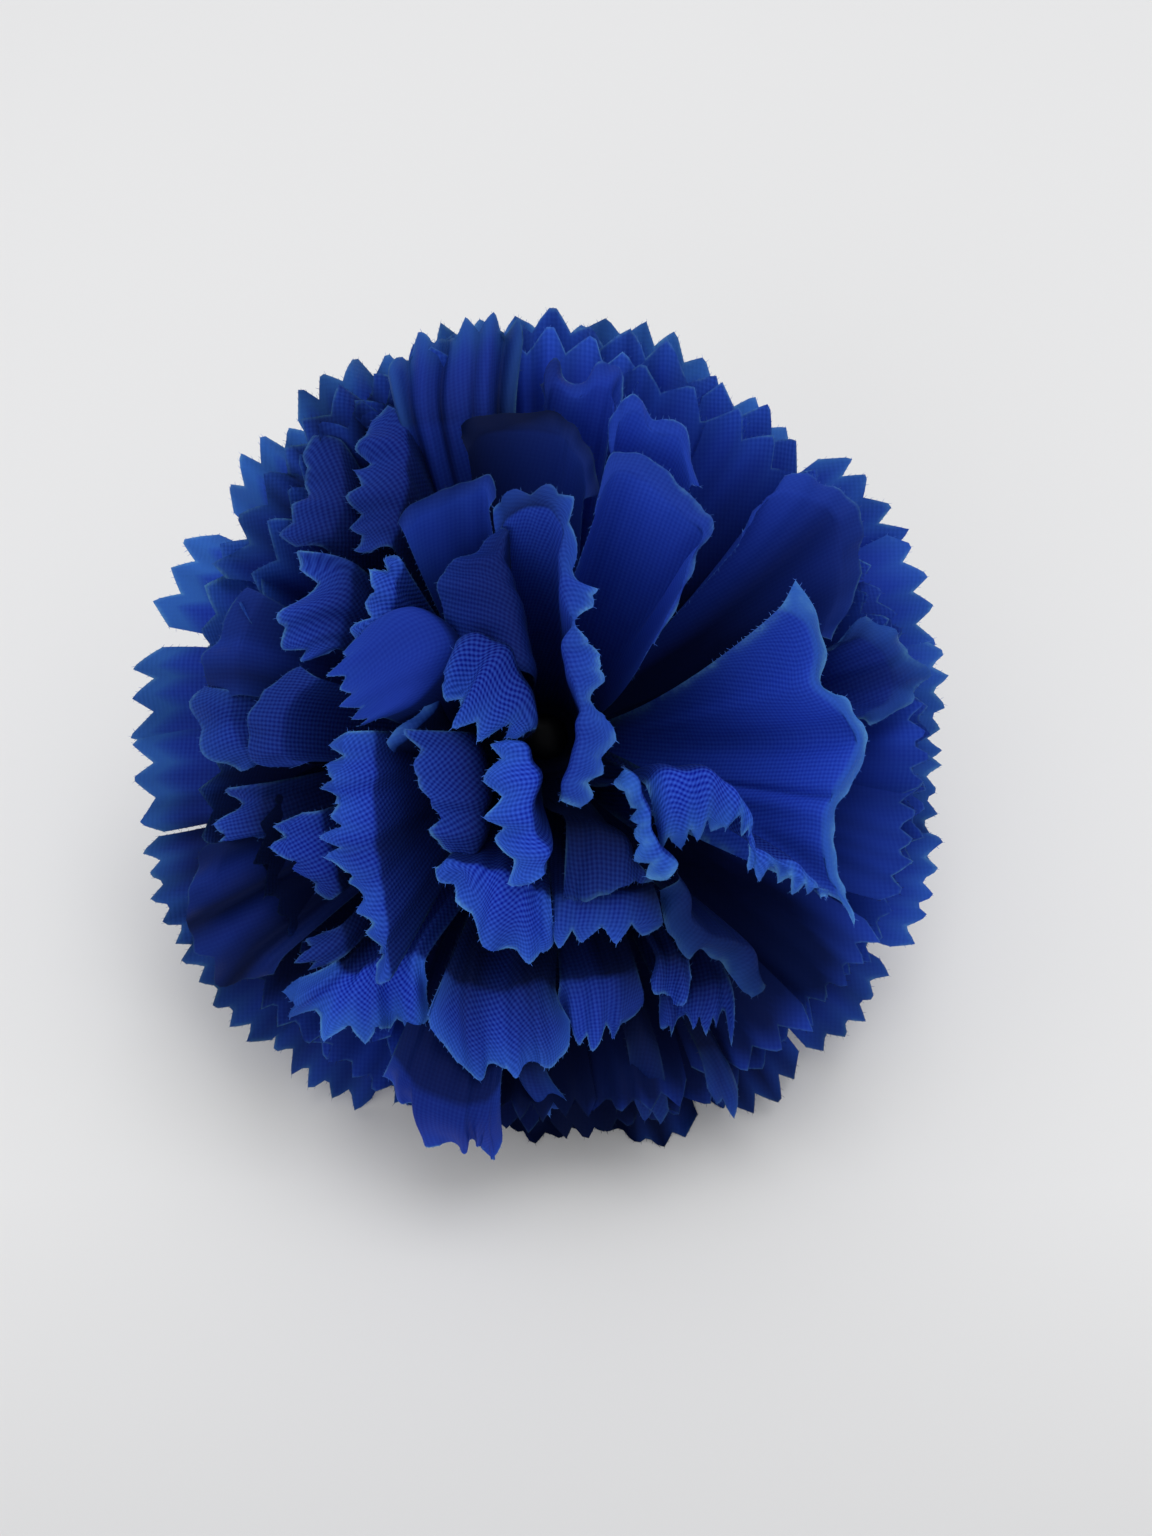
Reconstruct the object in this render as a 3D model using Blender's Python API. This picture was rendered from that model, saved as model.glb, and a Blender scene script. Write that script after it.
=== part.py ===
"""An artificial carnation head, lying on a surface with its face tipped up.

Six die-cut discs of woven cloth with pinked edges are stacked on a moulded peg, which is pushed into a green calyx.
The three outer discs are slit into narrow petals and spread into the round outline. The three inner ones are cut into
wide petals, which are gathered and folded. Metres, +Z up, +X to the right of someone who looks at the bloom's face.
"""

import math

import bmesh
import bpy
import numpy as np
from mathutils import Matrix, Vector

MM = 0.001

# How the bloom lies
FACE_TILT = math.radians(45)  # the bloom's axis above the horizontal
EYE = 230  # the petals' places are given as they show from this far in front of the rim, in mm
RIM_PLANE = 5  # the height of the rim over the lowest hub, along the bloom's axis
FLOOR = -41.4  # up plus out where the floor is, in the bloom's own frame

# Cloth
THICKNESS = 0.7
TOOTH_DEPTH = 2.3
TOOTH_SHARE = 0.6  # the most of a lip that a notch cuts into
HOLE_RADIUS = 1.6
HUB_STEP = 1.0

# The outer discs: petals, rim radius, rise of the rim over the hub, wave at the rim, first slit
FLAT_HUB_RADIUS = 7
SLIT_START = 0.76
SLIT_HALF_ANGLE = 0.014
OUTER_TEETH = 3
OUTER_DISCS = {
    "cloth_disc_1": (22, 46.3, 1.0, 1.5, 0.05),
    "cloth_disc_2": (21, 44.4, 8.5, 1.9, 0.20),
    "cloth_disc_3": (20, 40.5, 15.5, 1.6, 0.12),
}

# The inner discs: hub radius and the angle at which a petal leaves the hub
INNER_DISCS = {"cloth_disc_4": (6.4, 32), "cloth_disc_5": (5.2, 58), "cloth_disc_6": (4.0, 80)}

# The wide petals. Each has the middle and the half width of its root on the hub in degrees, its teeth, and its ribs
# in order across the petal. A rib is its crest, where the cloth turns over, and its end on the cut edge: each is
# (right, up, out) in mm, right and up as they show from the front and out along the bloom's axis.
WIDE_PETALS = {
    "cloth_disc_6": {
        "centre_hood": (35, 70, 11, [
            ((-4.4, 21.1, 30.5), (-4.6, 23.9, 31.5)),
            ((-3.6, 24.8, 33.0), (-5.0, 27.2, 33.0)),
            ((0.0, 25.7, 34.5), (0.3, 27.6, 33.5)),
            ((2.3, 23.9, 36.0), (4.4, 25.2, 34.5)),
            ((2.5, 17.3, 37.0), (5.9, 16.2, 35.0)),
            ((2.9, 10.1, 37.5), (6.4, 9.0, 35.5)),
            ((4.3, 3.0, 37.5), (7.6, 4.1, 35.0)),
            ((4.2, -2.5, 37.0), (8.0, -3.1, 34.5)),
            ((2.5, -6.9, 36.0), (5.7, -8.8, 34.0)),
        ]),
        "left_fold": (178, 42, 7, [
            ((-5.0, 20.6, 33.0), (-11.4, 17.5, 32.0)),
            ((-2.5, 16.2, 34.5), (-10.8, 12.9, 32.5)),
            ((-0.9, 10.7, 35.5), (-10.1, 9.4, 33.5)),
            ((-0.4, 6.3, 35.8), (-10.6, 5.2, 34.0)),
            ((-0.6, 2.8, 35.5), (-9.9, 1.0, 33.5)),
            ((-1.4, 1.0, 34.5), (-5.5, -0.9, 33.0)),
        ]),
        "lower_strip": (232, 30, 5, [
            ((-2.0, -0.9, 35.0), (-5.8, -1.4, 33.5)),
            ((-0.4, -5.3, 35.5), (-6.1, -5.3, 33.5)),
            ((-1.4, -9.1, 35.5), (-6.3, -9.4, 33.5)),
            ((-0.6, -11.9, 35.0), (-5.7, -12.7, 33.0)),
            ((1.3, -14.6, 34.0), (-3.5, -16.6, 32.0)),
        ]),
    },
    "cloth_disc_5": {
        "right_strip": (318, 20, 5, [
            ((9.6, -4.0, 33.0), (8.6, -5.0, 32.0)),
            ((11.2, -6.9, 33.5), (8.9, -8.6, 32.0)),
            ((12.3, -10.8, 33.5), (9.0, -11.3, 32.0)),
            ((13.5, -13.3, 33.0), (10.5, -14.9, 31.5)),
            ((14.9, -14.9, 32.0), (13.0, -16.6, 30.5)),
        ]),
        "ribbed_apron": (284, 18, 5, [
            ((3.0, -14.1, 31.5), (2.5, -18.5, 30.5)),
            ((5.5, -13.8, 32.0), (6.0, -18.6, 31.0)),
            ((8.3, -13.8, 31.5), (9.4, -17.9, 30.5)),
            ((10.6, -14.6, 30.5), (12.4, -16.7, 30.0)),
        ]),
        "right_wave": (328, 22, 11, [
            ((12.1, -6.9, 31.5), (13.5, -13.0, 29.0)),
            ((16.0, -5.1, 32.5), (16.7, -14.2, 29.5)),
            ((19.0, -5.1, 32.0), (19.6, -12.7, 29.0)),
            ((22.0, -7.8, 30.5), (22.0, -12.4, 28.5)),
            ((24.5, -11.9, 28.0), (23.3, -17.6, 26.5)),
            ((27.7, -14.4, 26.5), (28.1, -18.6, 25.5)),
            ((30.5, -17.2, 25.0), (31.4, -19.3, 24.5)),
        ]),
        "upper_right": (55, 30, 9, [
            ((5.0, 21.7, 28.0), (6.4, 26.5, 28.0)),
            ((7.2, 23.9, 28.0), (8.5, 29.8, 27.5)),
            ((11.0, 23.9, 27.5), (12.7, 29.9, 26.5)),
            ((13.2, 22.2, 27.5), (16.5, 26.4, 26.5)),
            ((14.9, 20.0, 28.0), (19.1, 22.5, 27.5)),
            ((13.2, 15.1, 28.5), (17.3, 17.3, 28.5)),
            ((10.5, 10.7, 29.5), (13.5, 10.1, 29.5)),
        ]),
        "upper_shade": (90, 18, 4, [
            ((-2.8, 28.4, 25.0), (-3.3, 34.3, 24.0)),
            ((0.0, 28.9, 26.0), (0.0, 35.1, 24.5)),
            ((2.8, 28.9, 26.5), (3.3, 34.9, 25.0)),
            ((4.6, 27.3, 26.5), (5.7, 31.4, 25.5)),
        ]),
        "satin_fold": (132, 22, 4, [
            ((-13.2, 17.8, 30.0), (-15.5, 23.7, 28.0)),
            ((-10.5, 19.5, 30.5), (-11.6, 25.2, 29.0)),
            ((-7.7, 21.1, 31.0), (-8.3, 26.5, 30.0)),
            ((-5.8, 22.8, 31.0), (-5.9, 28.3, 30.5)),
        ]),
        "left_weave": (153, 14, 4, [
            ((-13.2, 16.2, 28.5), (-17.6, 19.8, 27.5)),
            ((-12.4, 14.0, 29.0), (-20.1, 16.4, 27.5)),
            ((-12.0, 12.0, 29.0), (-22.0, 12.7, 26.5)),
            ((-12.7, 10.1, 28.5), (-22.0, 9.4, 25.5)),
        ]),
        "left_lip": (176, 18, 6, [
            ((-20.1, 9.8, 28.5), (-23.9, 6.5, 26.5)),
            ((-16.5, 12.0, 30.5), (-23.2, 4.4, 27.0)),
            ((-12.6, 10.7, 31.0), (-22.0, 2.4, 27.0)),
            ((-11.2, 7.6, 30.5), (-20.1, 0.8, 26.5)),
            ((-11.8, 5.0, 29.0), (-17.9, -0.1, 26.0)),
        ]),
        "left_ridge": (205, 24, 11, [
            ((-20.4, 0.8, 27.0), (-23.7, 0.2, 25.5)),
            ((-18.7, -3.1, 28.0), (-23.4, -3.1, 26.0)),
            ((-18.7, -8.0, 28.0), (-24.5, -6.9, 25.5)),
            ((-19.0, -12.4, 27.5), (-23.9, -11.9, 25.0)),
            ((-17.9, -16.8, 27.0), (-22.0, -16.8, 24.5)),
            ((-17.3, -21.2, 26.0), (-20.1, -21.5, 24.0)),
            ((-17.3, -26.0, 24.5), (-18.7, -27.0, 23.5)),
        ]),
        "dim_wave": (212, 20, 6, [
            ((-7.2, -0.9, 29.0), (-15.1, 0.4, 29.0)),
            ((-7.7, -4.2, 29.0), (-14.2, -3.1, 29.0)),
            ((-7.7, -6.9, 29.0), (-14.0, -5.6, 28.5)),
            ((-7.2, -10.2, 29.0), (-12.0, -8.6, 28.5)),
            ((-6.6, -12.4, 28.5), (-12.3, -11.7, 28.0)),
            ((-5.5, -14.6, 28.0), (-9.4, -14.2, 28.0)),
        ]),
        "lower_fan": (252, 18, 5, [
            ((-10.2, -14.0, 30.0), (-12.0, -15.3, 29.0)),
            ((-7.2, -13.5, 31.0), (-9.1, -18.3, 28.5)),
            ((-4.4, -14.6, 31.0), (-7.2, -21.8, 28.0)),
            ((-1.7, -16.3, 31.0), (-4.4, -24.0, 27.5)),
            ((0.8, -16.8, 30.5), (0.0, -25.1, 27.0)),
        ]),
        "lower_teeth": (283, 18, 4, [
            ((1.7, -17.9, 28.5), (0.8, -21.8, 27.0)),
            ((3.9, -18.5, 28.5), (3.3, -24.2, 26.5)),
            ((7.2, -18.5, 28.5), (7.2, -23.6, 26.5)),
            ((10.5, -17.9, 28.0), (11.0, -23.2, 26.0)),
            ((12.7, -17.1, 27.5), (13.5, -19.6, 26.5)),
        ]),
        "lower_right_curl": (302, 14, 5, [
            ((14.0, -16.3, 28.0), (12.9, -19.6, 27.0)),
            ((16.0, -17.9, 28.0), (15.1, -23.2, 26.5)),
            ((17.6, -20.7, 27.0), (20.4, -23.0, 25.0)),
            ((19.8, -23.5, 25.0), (23.9, -24.5, 23.5)),
            ((21.5, -26.3, 24.0), (24.8, -28.7, 22.5)),
        ]),
    },
    "cloth_disc_4": {
        "right_fan": (356, 30, 12, [
            ((18.9, 9.2, 27.5), (28.0, 16.9, 26.5)),
            ((22.7, 6.3, 24.5), (30.9, 10.1, 26.5)),
            ((23.8, 2.4, 23.0), (30.7, 5.2, 25.5)),
            ((26.0, -0.9, 22.5), (35.5, -0.1, 24.0)),
            ((25.4, -5.3, 22.5), (34.4, -3.9, 24.0)),
            ((24.8, -8.8, 22.5), (31.9, -8.6, 24.0)),
            ((24.7, -13.4, 20.0), (31.8, -14.1, 22.0)),
            ((26.3, -17.8, 18.0), (34.3, -20.7, 19.0)),
        ]),
        "scalloped": (66, 16, 6, [
            ((7.4, 27.3, 23.5), (7.9, 34.3, 24.0)),
            ((9.4, 29.5, 24.0), (9.6, 37.1, 24.0)),
            ((12.1, 29.0, 24.5), (12.1, 34.5, 24.5)),
            ((14.0, 28.4, 24.0), (15.2, 34.5, 23.5)),
            ((15.4, 26.2, 23.5), (17.1, 28.2, 24.0)),
        ]),
        "top_notched": (86, 14, 4, [
            ((-1.7, 32.7, 20.0), (-1.1, 37.6, 20.0)),
            ((1.1, 33.8, 21.5), (1.7, 41.1, 20.0)),
            ((3.6, 33.8, 22.0), (3.9, 39.5, 21.0)),
            ((6.1, 33.8, 22.0), (6.6, 40.8, 20.0)),
            ((7.4, 32.7, 21.5), (8.5, 38.7, 20.0)),
        ]),
        "top_left": (112, 16, 5, [
            ((-14.3, 29.4, 21.0), (-16.0, 34.3, 19.0)),
            ((-12.1, 31.0, 22.0), (-12.7, 38.2, 19.0)),
            ((-9.4, 31.6, 21.0), (-8.8, 39.5, 18.0)),
            ((-6.0, 31.6, 19.0), (-5.3, 38.7, 17.0)),
        ]),
        "left_toothed": (131, 16, 5, [
            ((-16.0, 31.7, 20.0), (-17.6, 36.5, 18.0)),
            ((-15.4, 29.4, 22.5), (-21.1, 31.8, 21.0)),
            ((-14.9, 26.1, 24.0), (-19.3, 27.0, 22.5)),
            ((-14.6, 22.8, 25.0), (-21.7, 24.1, 22.5)),
            ((-15.4, 20.0, 25.0), (-19.0, 19.5, 24.0)),
        ]),
        "left_points": (156, 13, 3, [
            ((-21.5, 17.8, 23.5), (-28.8, 20.4, 22.0)),
            ((-21.5, 15.6, 23.5), (-27.2, 16.2, 22.5)),
            ((-22.0, 12.9, 23.0), (-30.3, 10.9, 21.5)),
            ((-21.5, 10.7, 22.5), (-27.8, 8.3, 21.5)),
            ((-20.4, 9.8, 22.5), (-24.2, 7.7, 22.0)),
        ]),
        "left_round": (181, 14, 5, [
            ((-22.1, 5.2, 22.5), (-24.8, 7.9, 22.5)),
            ((-23.8, 3.5, 22.0), (-29.7, 5.4, 21.0)),
            ((-24.3, 1.3, 22.0), (-32.2, 2.1, 20.5)),
            ((-24.3, -0.9, 22.0), (-32.5, -0.9, 20.5)),
            ((-23.8, -2.5, 21.5), (-31.8, -3.4, 20.0)),
        ]),
        "left_low": (205, 12, 4, [
            ((-23.7, -10.2, 21.5), (-29.7, -9.1, 20.0)),
            ((-23.7, -13.0, 21.5), (-30.3, -13.0, 20.0)),
            ((-23.1, -15.7, 21.5), (-29.2, -15.7, 20.0)),
            ((-22.0, -18.2, 21.0), (-26.4, -18.7, 20.5)),
        ]),
        "low_left_small": (224, 9, 3, [
            ((-23.1, -25.1, 20.5), (-28.8, -27.3, 19.0)),
            ((-22.0, -27.3, 20.5), (-28.3, -31.0, 19.0)),
            ((-20.9, -28.9, 20.5), (-25.0, -32.8, 19.5)),
        ]),
        "low_left": (240, 14, 5, [
            ((-21.5, -23.5, 20.0), (-22.0, -30.6, 18.0)),
            ((-18.7, -23.5, 20.5), (-19.0, -34.0, 18.0)),
            ((-15.4, -23.0, 21.0), (-16.2, -33.3, 18.5)),
            ((-12.7, -23.0, 21.5), (-13.2, -34.2, 19.0)),
            ((-11.6, -24.5, 22.0), (-11.9, -28.9, 20.5)),
        ]),
        "low_front": (262, 18, 6, [
            ((-11.0, -24.5, 25.5), (-12.3, -31.1, 24.0)),
            ((-9.4, -26.2, 26.0), (-9.9, -35.8, 23.0)),
            ((-6.0, -26.7, 26.0), (-6.3, -38.0, 22.5)),
            ((-2.8, -26.7, 26.0), (-2.2, -37.7, 22.5)),
            ((0.0, -27.3, 25.5), (1.9, -36.4, 22.0)),
            ((1.1, -27.8, 25.0), (3.0, -33.3, 22.0)),
        ]),
        "low_tongue": (253, 10, 4, [
            ((-14.7, -37.0, 22.0), (-15.6, -41.0, 18.6)),
            ((-12.2, -40.5, 22.5), (-12.5, -45.6, 15.4)),
            ((-8.6, -41.5, 21.5), (-8.9, -46.4, 13.5)),
            ((-5.6, -41.0, 21.5), (-5.8, -47.0, 13.0)),
            ((-4.4, -39.0, 21.5), (-4.0, -43.0, 16.0)),
        ]),
        "low_middle": (284, 12, 4, [
            ((2.2, -27.3, 22.5), (1.9, -32.2, 21.0)),
            ((4.4, -27.3, 23.0), (4.7, -35.0, 20.0)),
            ((7.2, -26.7, 23.0), (8.3, -33.1, 20.0)),
            ((10.5, -25.6, 22.5), (11.8, -30.0, 20.5)),
        ]),
        "low_right": (303, 12, 5, [
            ((12.1, -25.6, 22.0), (12.7, -30.6, 20.0)),
            ((14.3, -25.6, 21.5), (13.9, -34.1, 19.5)),
            ((17.1, -26.1, 20.5), (18.0, -33.1, 19.0)),
            ((19.8, -27.1, 19.5), (20.9, -33.9, 18.5)),
        ]),
    },
}
CREST_ROWS = (0.0, 0.45, 0.8)  # rows from the root to the crest, as shares of the way
LIP_ROWS = (1.0, 1.5, 2.0)  # rows from the crest to the cut edge
ROOT_SUNK = 0.6
FOLD_REACH = 1.2  # how far below its crest a wall starts to turn over, in lengths of its lip

# The peg
PIN_RADIUS = 1.25
HEAD_RADIUS = 2.5
PIN_FOOT = -9.0
SEAT_GAP = 0.3

# The calyx, along the bloom's axis: (height, radius) down its outside, and its sepals
CALYX_TOP = -0.7
CALYX_PROFILE = ((-2.0, 7.4), (-6.0, 7.0), (-12.0, 6.2), (-18.0, 5.4), (-23.0, 4.3), (-26.0, 3.4))
STUB_RADIUS = 3.0
STUB_DIP = 1.0  # how far the stub's low edge would pass the floor if it were not cut flat there
SEPALS = 6
SEPAL_RADIUS = 12.5
SEPAL_WAIST = 7.6
CALYX_SIDES = 36


def to_world(points):
    """Points (right, up, out) in the bloom's frame, in mm, to metres in the part's frame, before it is set down."""
    points = np.asarray(points, float)
    right, up, out = points[..., 0], points[..., 1], points[..., 2]
    back = up * math.sin(FACE_TILT) - out * math.cos(FACE_TILT)
    height = up * math.cos(FACE_TILT) + out * math.sin(FACE_TILT)
    return np.stack([right, back, height], axis=-1) * MM


def seen(point):
    """Where a point is in the bloom's frame, from where it shows from the front."""
    right, up, out = point
    nearer = 1 - (out - RIM_PLANE) / EYE
    return np.array([right * nearer, up * nearer, out])


def off_floor(point, above):
    """A point of the cloth, pushed up where it would pass the floor, or a place that far above the floor."""
    floor = FLOOR * math.sin(FACE_TILT) + above
    return np.array([point[0], point[1], max(point[2], floor * MM)])


def along(values, share):
    """A smooth curve through evenly spaced values, at a share of its length."""
    last = len(values) - 1
    index = min(int(share * last), last - 1)
    x = share * last - index
    before = values[max(index - 1, 0)]
    start, end = values[index], values[index + 1]
    after = values[min(index + 2, last)]
    return 0.5 * (
        2 * start + (end - before) * x + (2 * before - 5 * start + 4 * end - after) * x**2
        + (3 * start - before - 3 * end + after) * x**3
    )


def bend(start, end, leaving, arriving, x):
    """A curve from start to end that leaves and arrives with the given velocities."""
    return (
        (2 * x**3 - 3 * x**2 + 1) * start + (x**3 - 2 * x**2 + x) * leaving
        + (3 * x**2 - 2 * x**3) * end + (x**3 - x**2) * arriving
    )


def unit(vector):
    return vector / np.linalg.norm(vector)


def wide_petal_point(petal, hub, level, share, row):
    """A point of a wide petal: share runs across it, and row from 0 at the root past 1 at the crest to 2 at the edge."""
    middle, half_width, teeth, ribs = petal
    hub_radius, rise = hub
    crests = [seen(crest) for crest, _ in ribs]
    ends = [seen(end) for _, end in ribs]
    crest, end = along(crests, share), along(ends, share)
    first, last = crests[0], crests[-1]
    turn = 1 if first[0] * last[1] - first[1] * last[0] > 0 else -1
    azimuth = math.radians(middle + turn * half_width * (2 * share - 1))
    outward = np.array([math.cos(azimuth), math.sin(azimuth), 0])
    root = outward * (hub_radius - ROOT_SUNK) + np.array([0, 0, level])
    rise = math.radians(rise)
    leaving = outward * math.cos(rise) + np.array([0, 0, math.sin(rise)])
    over = unit(unit(crest - root) + unit(end - crest))
    wall, lip = np.linalg.norm(crest - root), np.linalg.norm(end - crest)
    if row <= 1:
        return bend(root, crest, leaving * wall, over * min(FOLD_REACH * lip, wall), row)
    return bend(crest, end, over * lip, end - crest, row - 1)


def notch_row(petal, share):
    """How far along its last stretch the cut edge of a wide petal is at a notch between two teeth."""
    ribs = petal[3]
    lip = along([np.linalg.norm(seen(end) - seen(crest)) for crest, end in ribs], share)
    return 2 - min(TOOTH_DEPTH / lip, TOOTH_SHARE)


def wide_petal_rows(petal, hub, level):
    """The rows of a wide petal's middle surface. Each row is a list of (share, point, direction off the surface)."""
    teeth = petal[2]

    def place(share, row):
        return to_world(wide_petal_point(petal, hub, level, share, row))

    def with_normal(share, row, step=0.01):
        low, high = max(share - step, 0), min(share + step, 1)
        near, far = max(row - step, 0), min(row + step, 2)
        across = place(high, row) - place(low, row)
        outward = place(share, far) - place(share, near)
        return share, place(share, row), unit(np.cross(outward, across))

    rows = [[with_normal(i / teeth, row) for i in range(teeth + 1)] for row in CREST_ROWS]
    fine = [i / (2 * teeth) for i in range(2 * teeth + 1)]
    rows += [[with_normal(share, row) for share in fine] for row in LIP_ROWS[:-1]]
    edge = [notch_row(petal, share) if i % 2 == 0 else LIP_ROWS[-1] for i, share in enumerate(fine)]
    rows.append([with_normal(share, row) for share, row in zip(fine, edge)])
    return rows


def outer_point(disc, level, share, turn):
    """A point of an outer disc: share runs from its flat hub to its rim, and turn is its angle in radians."""
    petals, rim_radius, rise, wave, first_slit = disc
    radius = FLAT_HUB_RADIUS + (rim_radius - FLAT_HUB_RADIUS) * share
    phase = petals * (turn - first_slit)
    ruffle = wave * share**2 * (-math.cos(phase) + 0.5 * math.sin(5 * turn + rise))
    out = level + rise * share**1.25 + ruffle
    spread = 0.8 * share**2 * math.sin(3 * turn + 2 * rise)
    return to_world(np.array([(radius + spread) * math.cos(turn), (radius + spread) * math.sin(turn), out]))


def outer_sample(disc, level, share, turn, step=0.01):
    across = outer_point(disc, level, share, turn + step) - outer_point(disc, level, share, turn - step)
    outward = outer_point(disc, level, share + step, turn) - outer_point(disc, level, share - step, turn)
    return outer_point(disc, level, share, turn), unit(np.cross(outward, across))


def face_out(mesh):
    """Splits a closed mesh into triangles that all face outwards."""
    work = bmesh.new()
    work.from_mesh(mesh)
    bmesh.ops.recalc_face_normals(work, faces=work.faces)
    if work.calc_volume(signed=True) < 0:
        bmesh.ops.reverse_faces(work, faces=work.faces)
    bmesh.ops.triangulate(work, faces=work.faces)
    work.to_mesh(mesh)
    work.free()


class Sheet:
    """A thick sheet: each point of its middle surface becomes one on either face, and both faces are split alike."""

    def __init__(self):
        self.points = []
        self.triangles = []

    def add(self, place, normal):
        self.points.append((place, normal))
        return len(self.points) - 1

    def zip_rows(self, first, second):
        """Joins two rows of (share, index) with triangles, going along whichever row is behind."""
        i = j = 0
        while i < len(first) - 1 or j < len(second) - 1:
            next_first = first[i + 1][0] if i < len(first) - 1 else math.inf
            next_second = second[j + 1][0] if j < len(second) - 1 else math.inf
            if next_first < next_second:
                self.triangles.append((first[i][1], first[i + 1][1], second[j][1]))
                i += 1
            else:
                self.triangles.append((first[i][1], second[j + 1][1], second[j][1]))
                j += 1

    def mesh(self, name):
        count = len(self.points)
        places = []
        for side in (THICKNESS / 2, -THICKNESS / 2):
            for place, normal in self.points:
                above = THICKNESS if normal[2] * side > 0 else 0
                places.append(off_floor(place + normal * side * MM, above))
        faces = list(self.triangles)
        faces += [(c + count, b + count, a + count) for a, b, c in self.triangles]
        inner = set()
        for a, b, c in self.triangles:
            inner.update(((a, b), (b, c), (c, a)))
        for a, b in sorted(edge for edge in inner if edge[::-1] not in inner):
            faces += [(b, a, a + count), (b, a + count, b + count)]
        made = bpy.data.meshes.new(name)
        made.from_pydata([tuple(place) for place in places], [], faces)
        face_out(made)
        return made


def wide_petal(name, petal, hub, level):
    sheet = Sheet()
    rows = [
        [(share, sheet.add(place, normal)) for share, place, normal in row]
        for row in wide_petal_rows(petal, hub, level)
    ]
    for first, second in zip(rows, rows[1:]):
        sheet.zip_rows(first, second)
    return sheet.mesh(name)


def outer_disc(name, disc, level):
    """An outer disc in one sheet: a ring round the hole, and from SLIT_START on a petal between each two slits."""
    petals, rim_radius, rise, wave, first_slit = disc
    sheet = Sheet()
    columns = 2 * petals
    hole_share = (HOLE_RADIUS - FLAT_HUB_RADIUS) / (rim_radius - FLAT_HUB_RADIUS)
    rows = []
    for share in (hole_share, 0.0, 0.4, SLIT_START):
        row = []
        for column in range(columns):
            turn = first_slit + math.tau * column / columns
            if share <= 0:
                radius = FLAT_HUB_RADIUS + (rim_radius - FLAT_HUB_RADIUS) * share
                flat = to_world(np.array([radius * math.cos(turn), radius * math.sin(turn), level]))
                sample = (flat, to_world(np.array([0, 0, -1])) / MM)
            else:
                sample = outer_sample(disc, level, share, turn)
            row.append(sheet.add(*sample))
        rows.append([(column, row[column % columns]) for column in range(columns + 1)])
    for first, second in zip(rows, rows[1:]):
        sheet.zip_rows(first, second)
    tooth = TOOTH_DEPTH / (rim_radius - FLAT_HUB_RADIUS)
    for petal in range(petals):
        low = first_slit + math.tau * petal / petals + SLIT_HALF_ANGLE
        high = first_slit + math.tau * (petal + 1) / petals - SLIT_HALF_ANGLE
        root = [(2 * petal + i, rows[-1][2 * petal + i][1]) for i in range(3)]
        edge = []
        for i in range(2 * OUTER_TEETH + 1):
            turn = low + (high - low) * i / (2 * OUTER_TEETH)
            share = 1 - tooth * (i % 2 == 0)
            edge.append((2 * petal + i / OUTER_TEETH, sheet.add(*outer_sample(disc, level, share, turn))))
        sheet.zip_rows(root, edge)
    return sheet.mesh(name)


def ring_mesh(name, rings, closed):
    """A solid of rings of points, each joined to the next. A closed one joins its last ring to its first."""
    made = bpy.data.meshes.new(name)
    sides = len(rings[0])
    places = [tuple(to_world(point)) for ring in rings for point in ring]
    faces = []
    for ring in range(len(rings) if closed else len(rings) - 1):
        after = (ring + 1) % len(rings)
        for i in range(sides):
            j = (i + 1) % sides
            faces.append((ring * sides + i, ring * sides + j, after * sides + j, after * sides + i))
    if not closed:
        faces.append(tuple(reversed(range(sides))))
        faces.append(tuple(range((len(rings) - 1) * sides, len(rings) * sides)))
    made.from_pydata(places, [], faces)
    face_out(made)
    return made


def circle(radius, out, sides):
    turns = [math.tau * i / sides for i in range(sides)]
    return [(radius * math.cos(turn), radius * math.sin(turn), out) for turn in turns]


def hub_mesh(name, radius, level, sides=32):
    low, high = level - THICKNESS / 2, level + THICKNESS / 2
    rings = [circle(HOLE_RADIUS, low, sides), circle(radius, low, sides)]
    rings += [circle(radius, high, sides), circle(HOLE_RADIUS, high, sides)]
    return ring_mesh(name, rings, closed=True)


def material(name, colour, roughness):
    made = bpy.data.materials.new(name)
    made.use_nodes = True
    shader = made.node_tree.nodes["Principled BSDF"]
    shader.inputs["Base Color"].default_value = (*colour, 1)
    shader.inputs["Roughness"].default_value = roughness
    return made


def new_object(name, mesh, finish):
    made = bpy.data.objects.new(name, mesh)
    made.data.materials.append(finish)
    bpy.context.scene.collection.objects.link(made)
    return made


def inner_disc(name, level, finish):
    """An inner disc: its petals are joined to its hub by one Boolean union."""
    hub = INNER_DISCS[name]
    disc = new_object(name, hub_mesh(name, hub[0], level), finish)
    petals = bpy.data.collections.new(name + "_petals")
    bpy.context.scene.collection.children.link(petals)
    for petal_name, petal in WIDE_PETALS[name].items():
        made = bpy.data.objects.new(petal_name, wide_petal(petal_name, petal, hub, level))
        petals.objects.link(made)
    union = disc.modifiers.new("petals", "BOOLEAN")
    union.operation = "UNION"
    union.operand_type = "COLLECTION"
    union.collection = petals
    union.solver = "MANIFOLD"
    graph = bpy.context.evaluated_depsgraph_get()
    joined = bpy.data.meshes.new_from_object(disc.evaluated_get(graph))
    disc.modifiers.remove(union)
    disc.data = joined
    disc.data.name = name
    for made in list(petals.objects):
        bpy.data.objects.remove(made)
    bpy.data.collections.remove(petals)
    return disc


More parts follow.
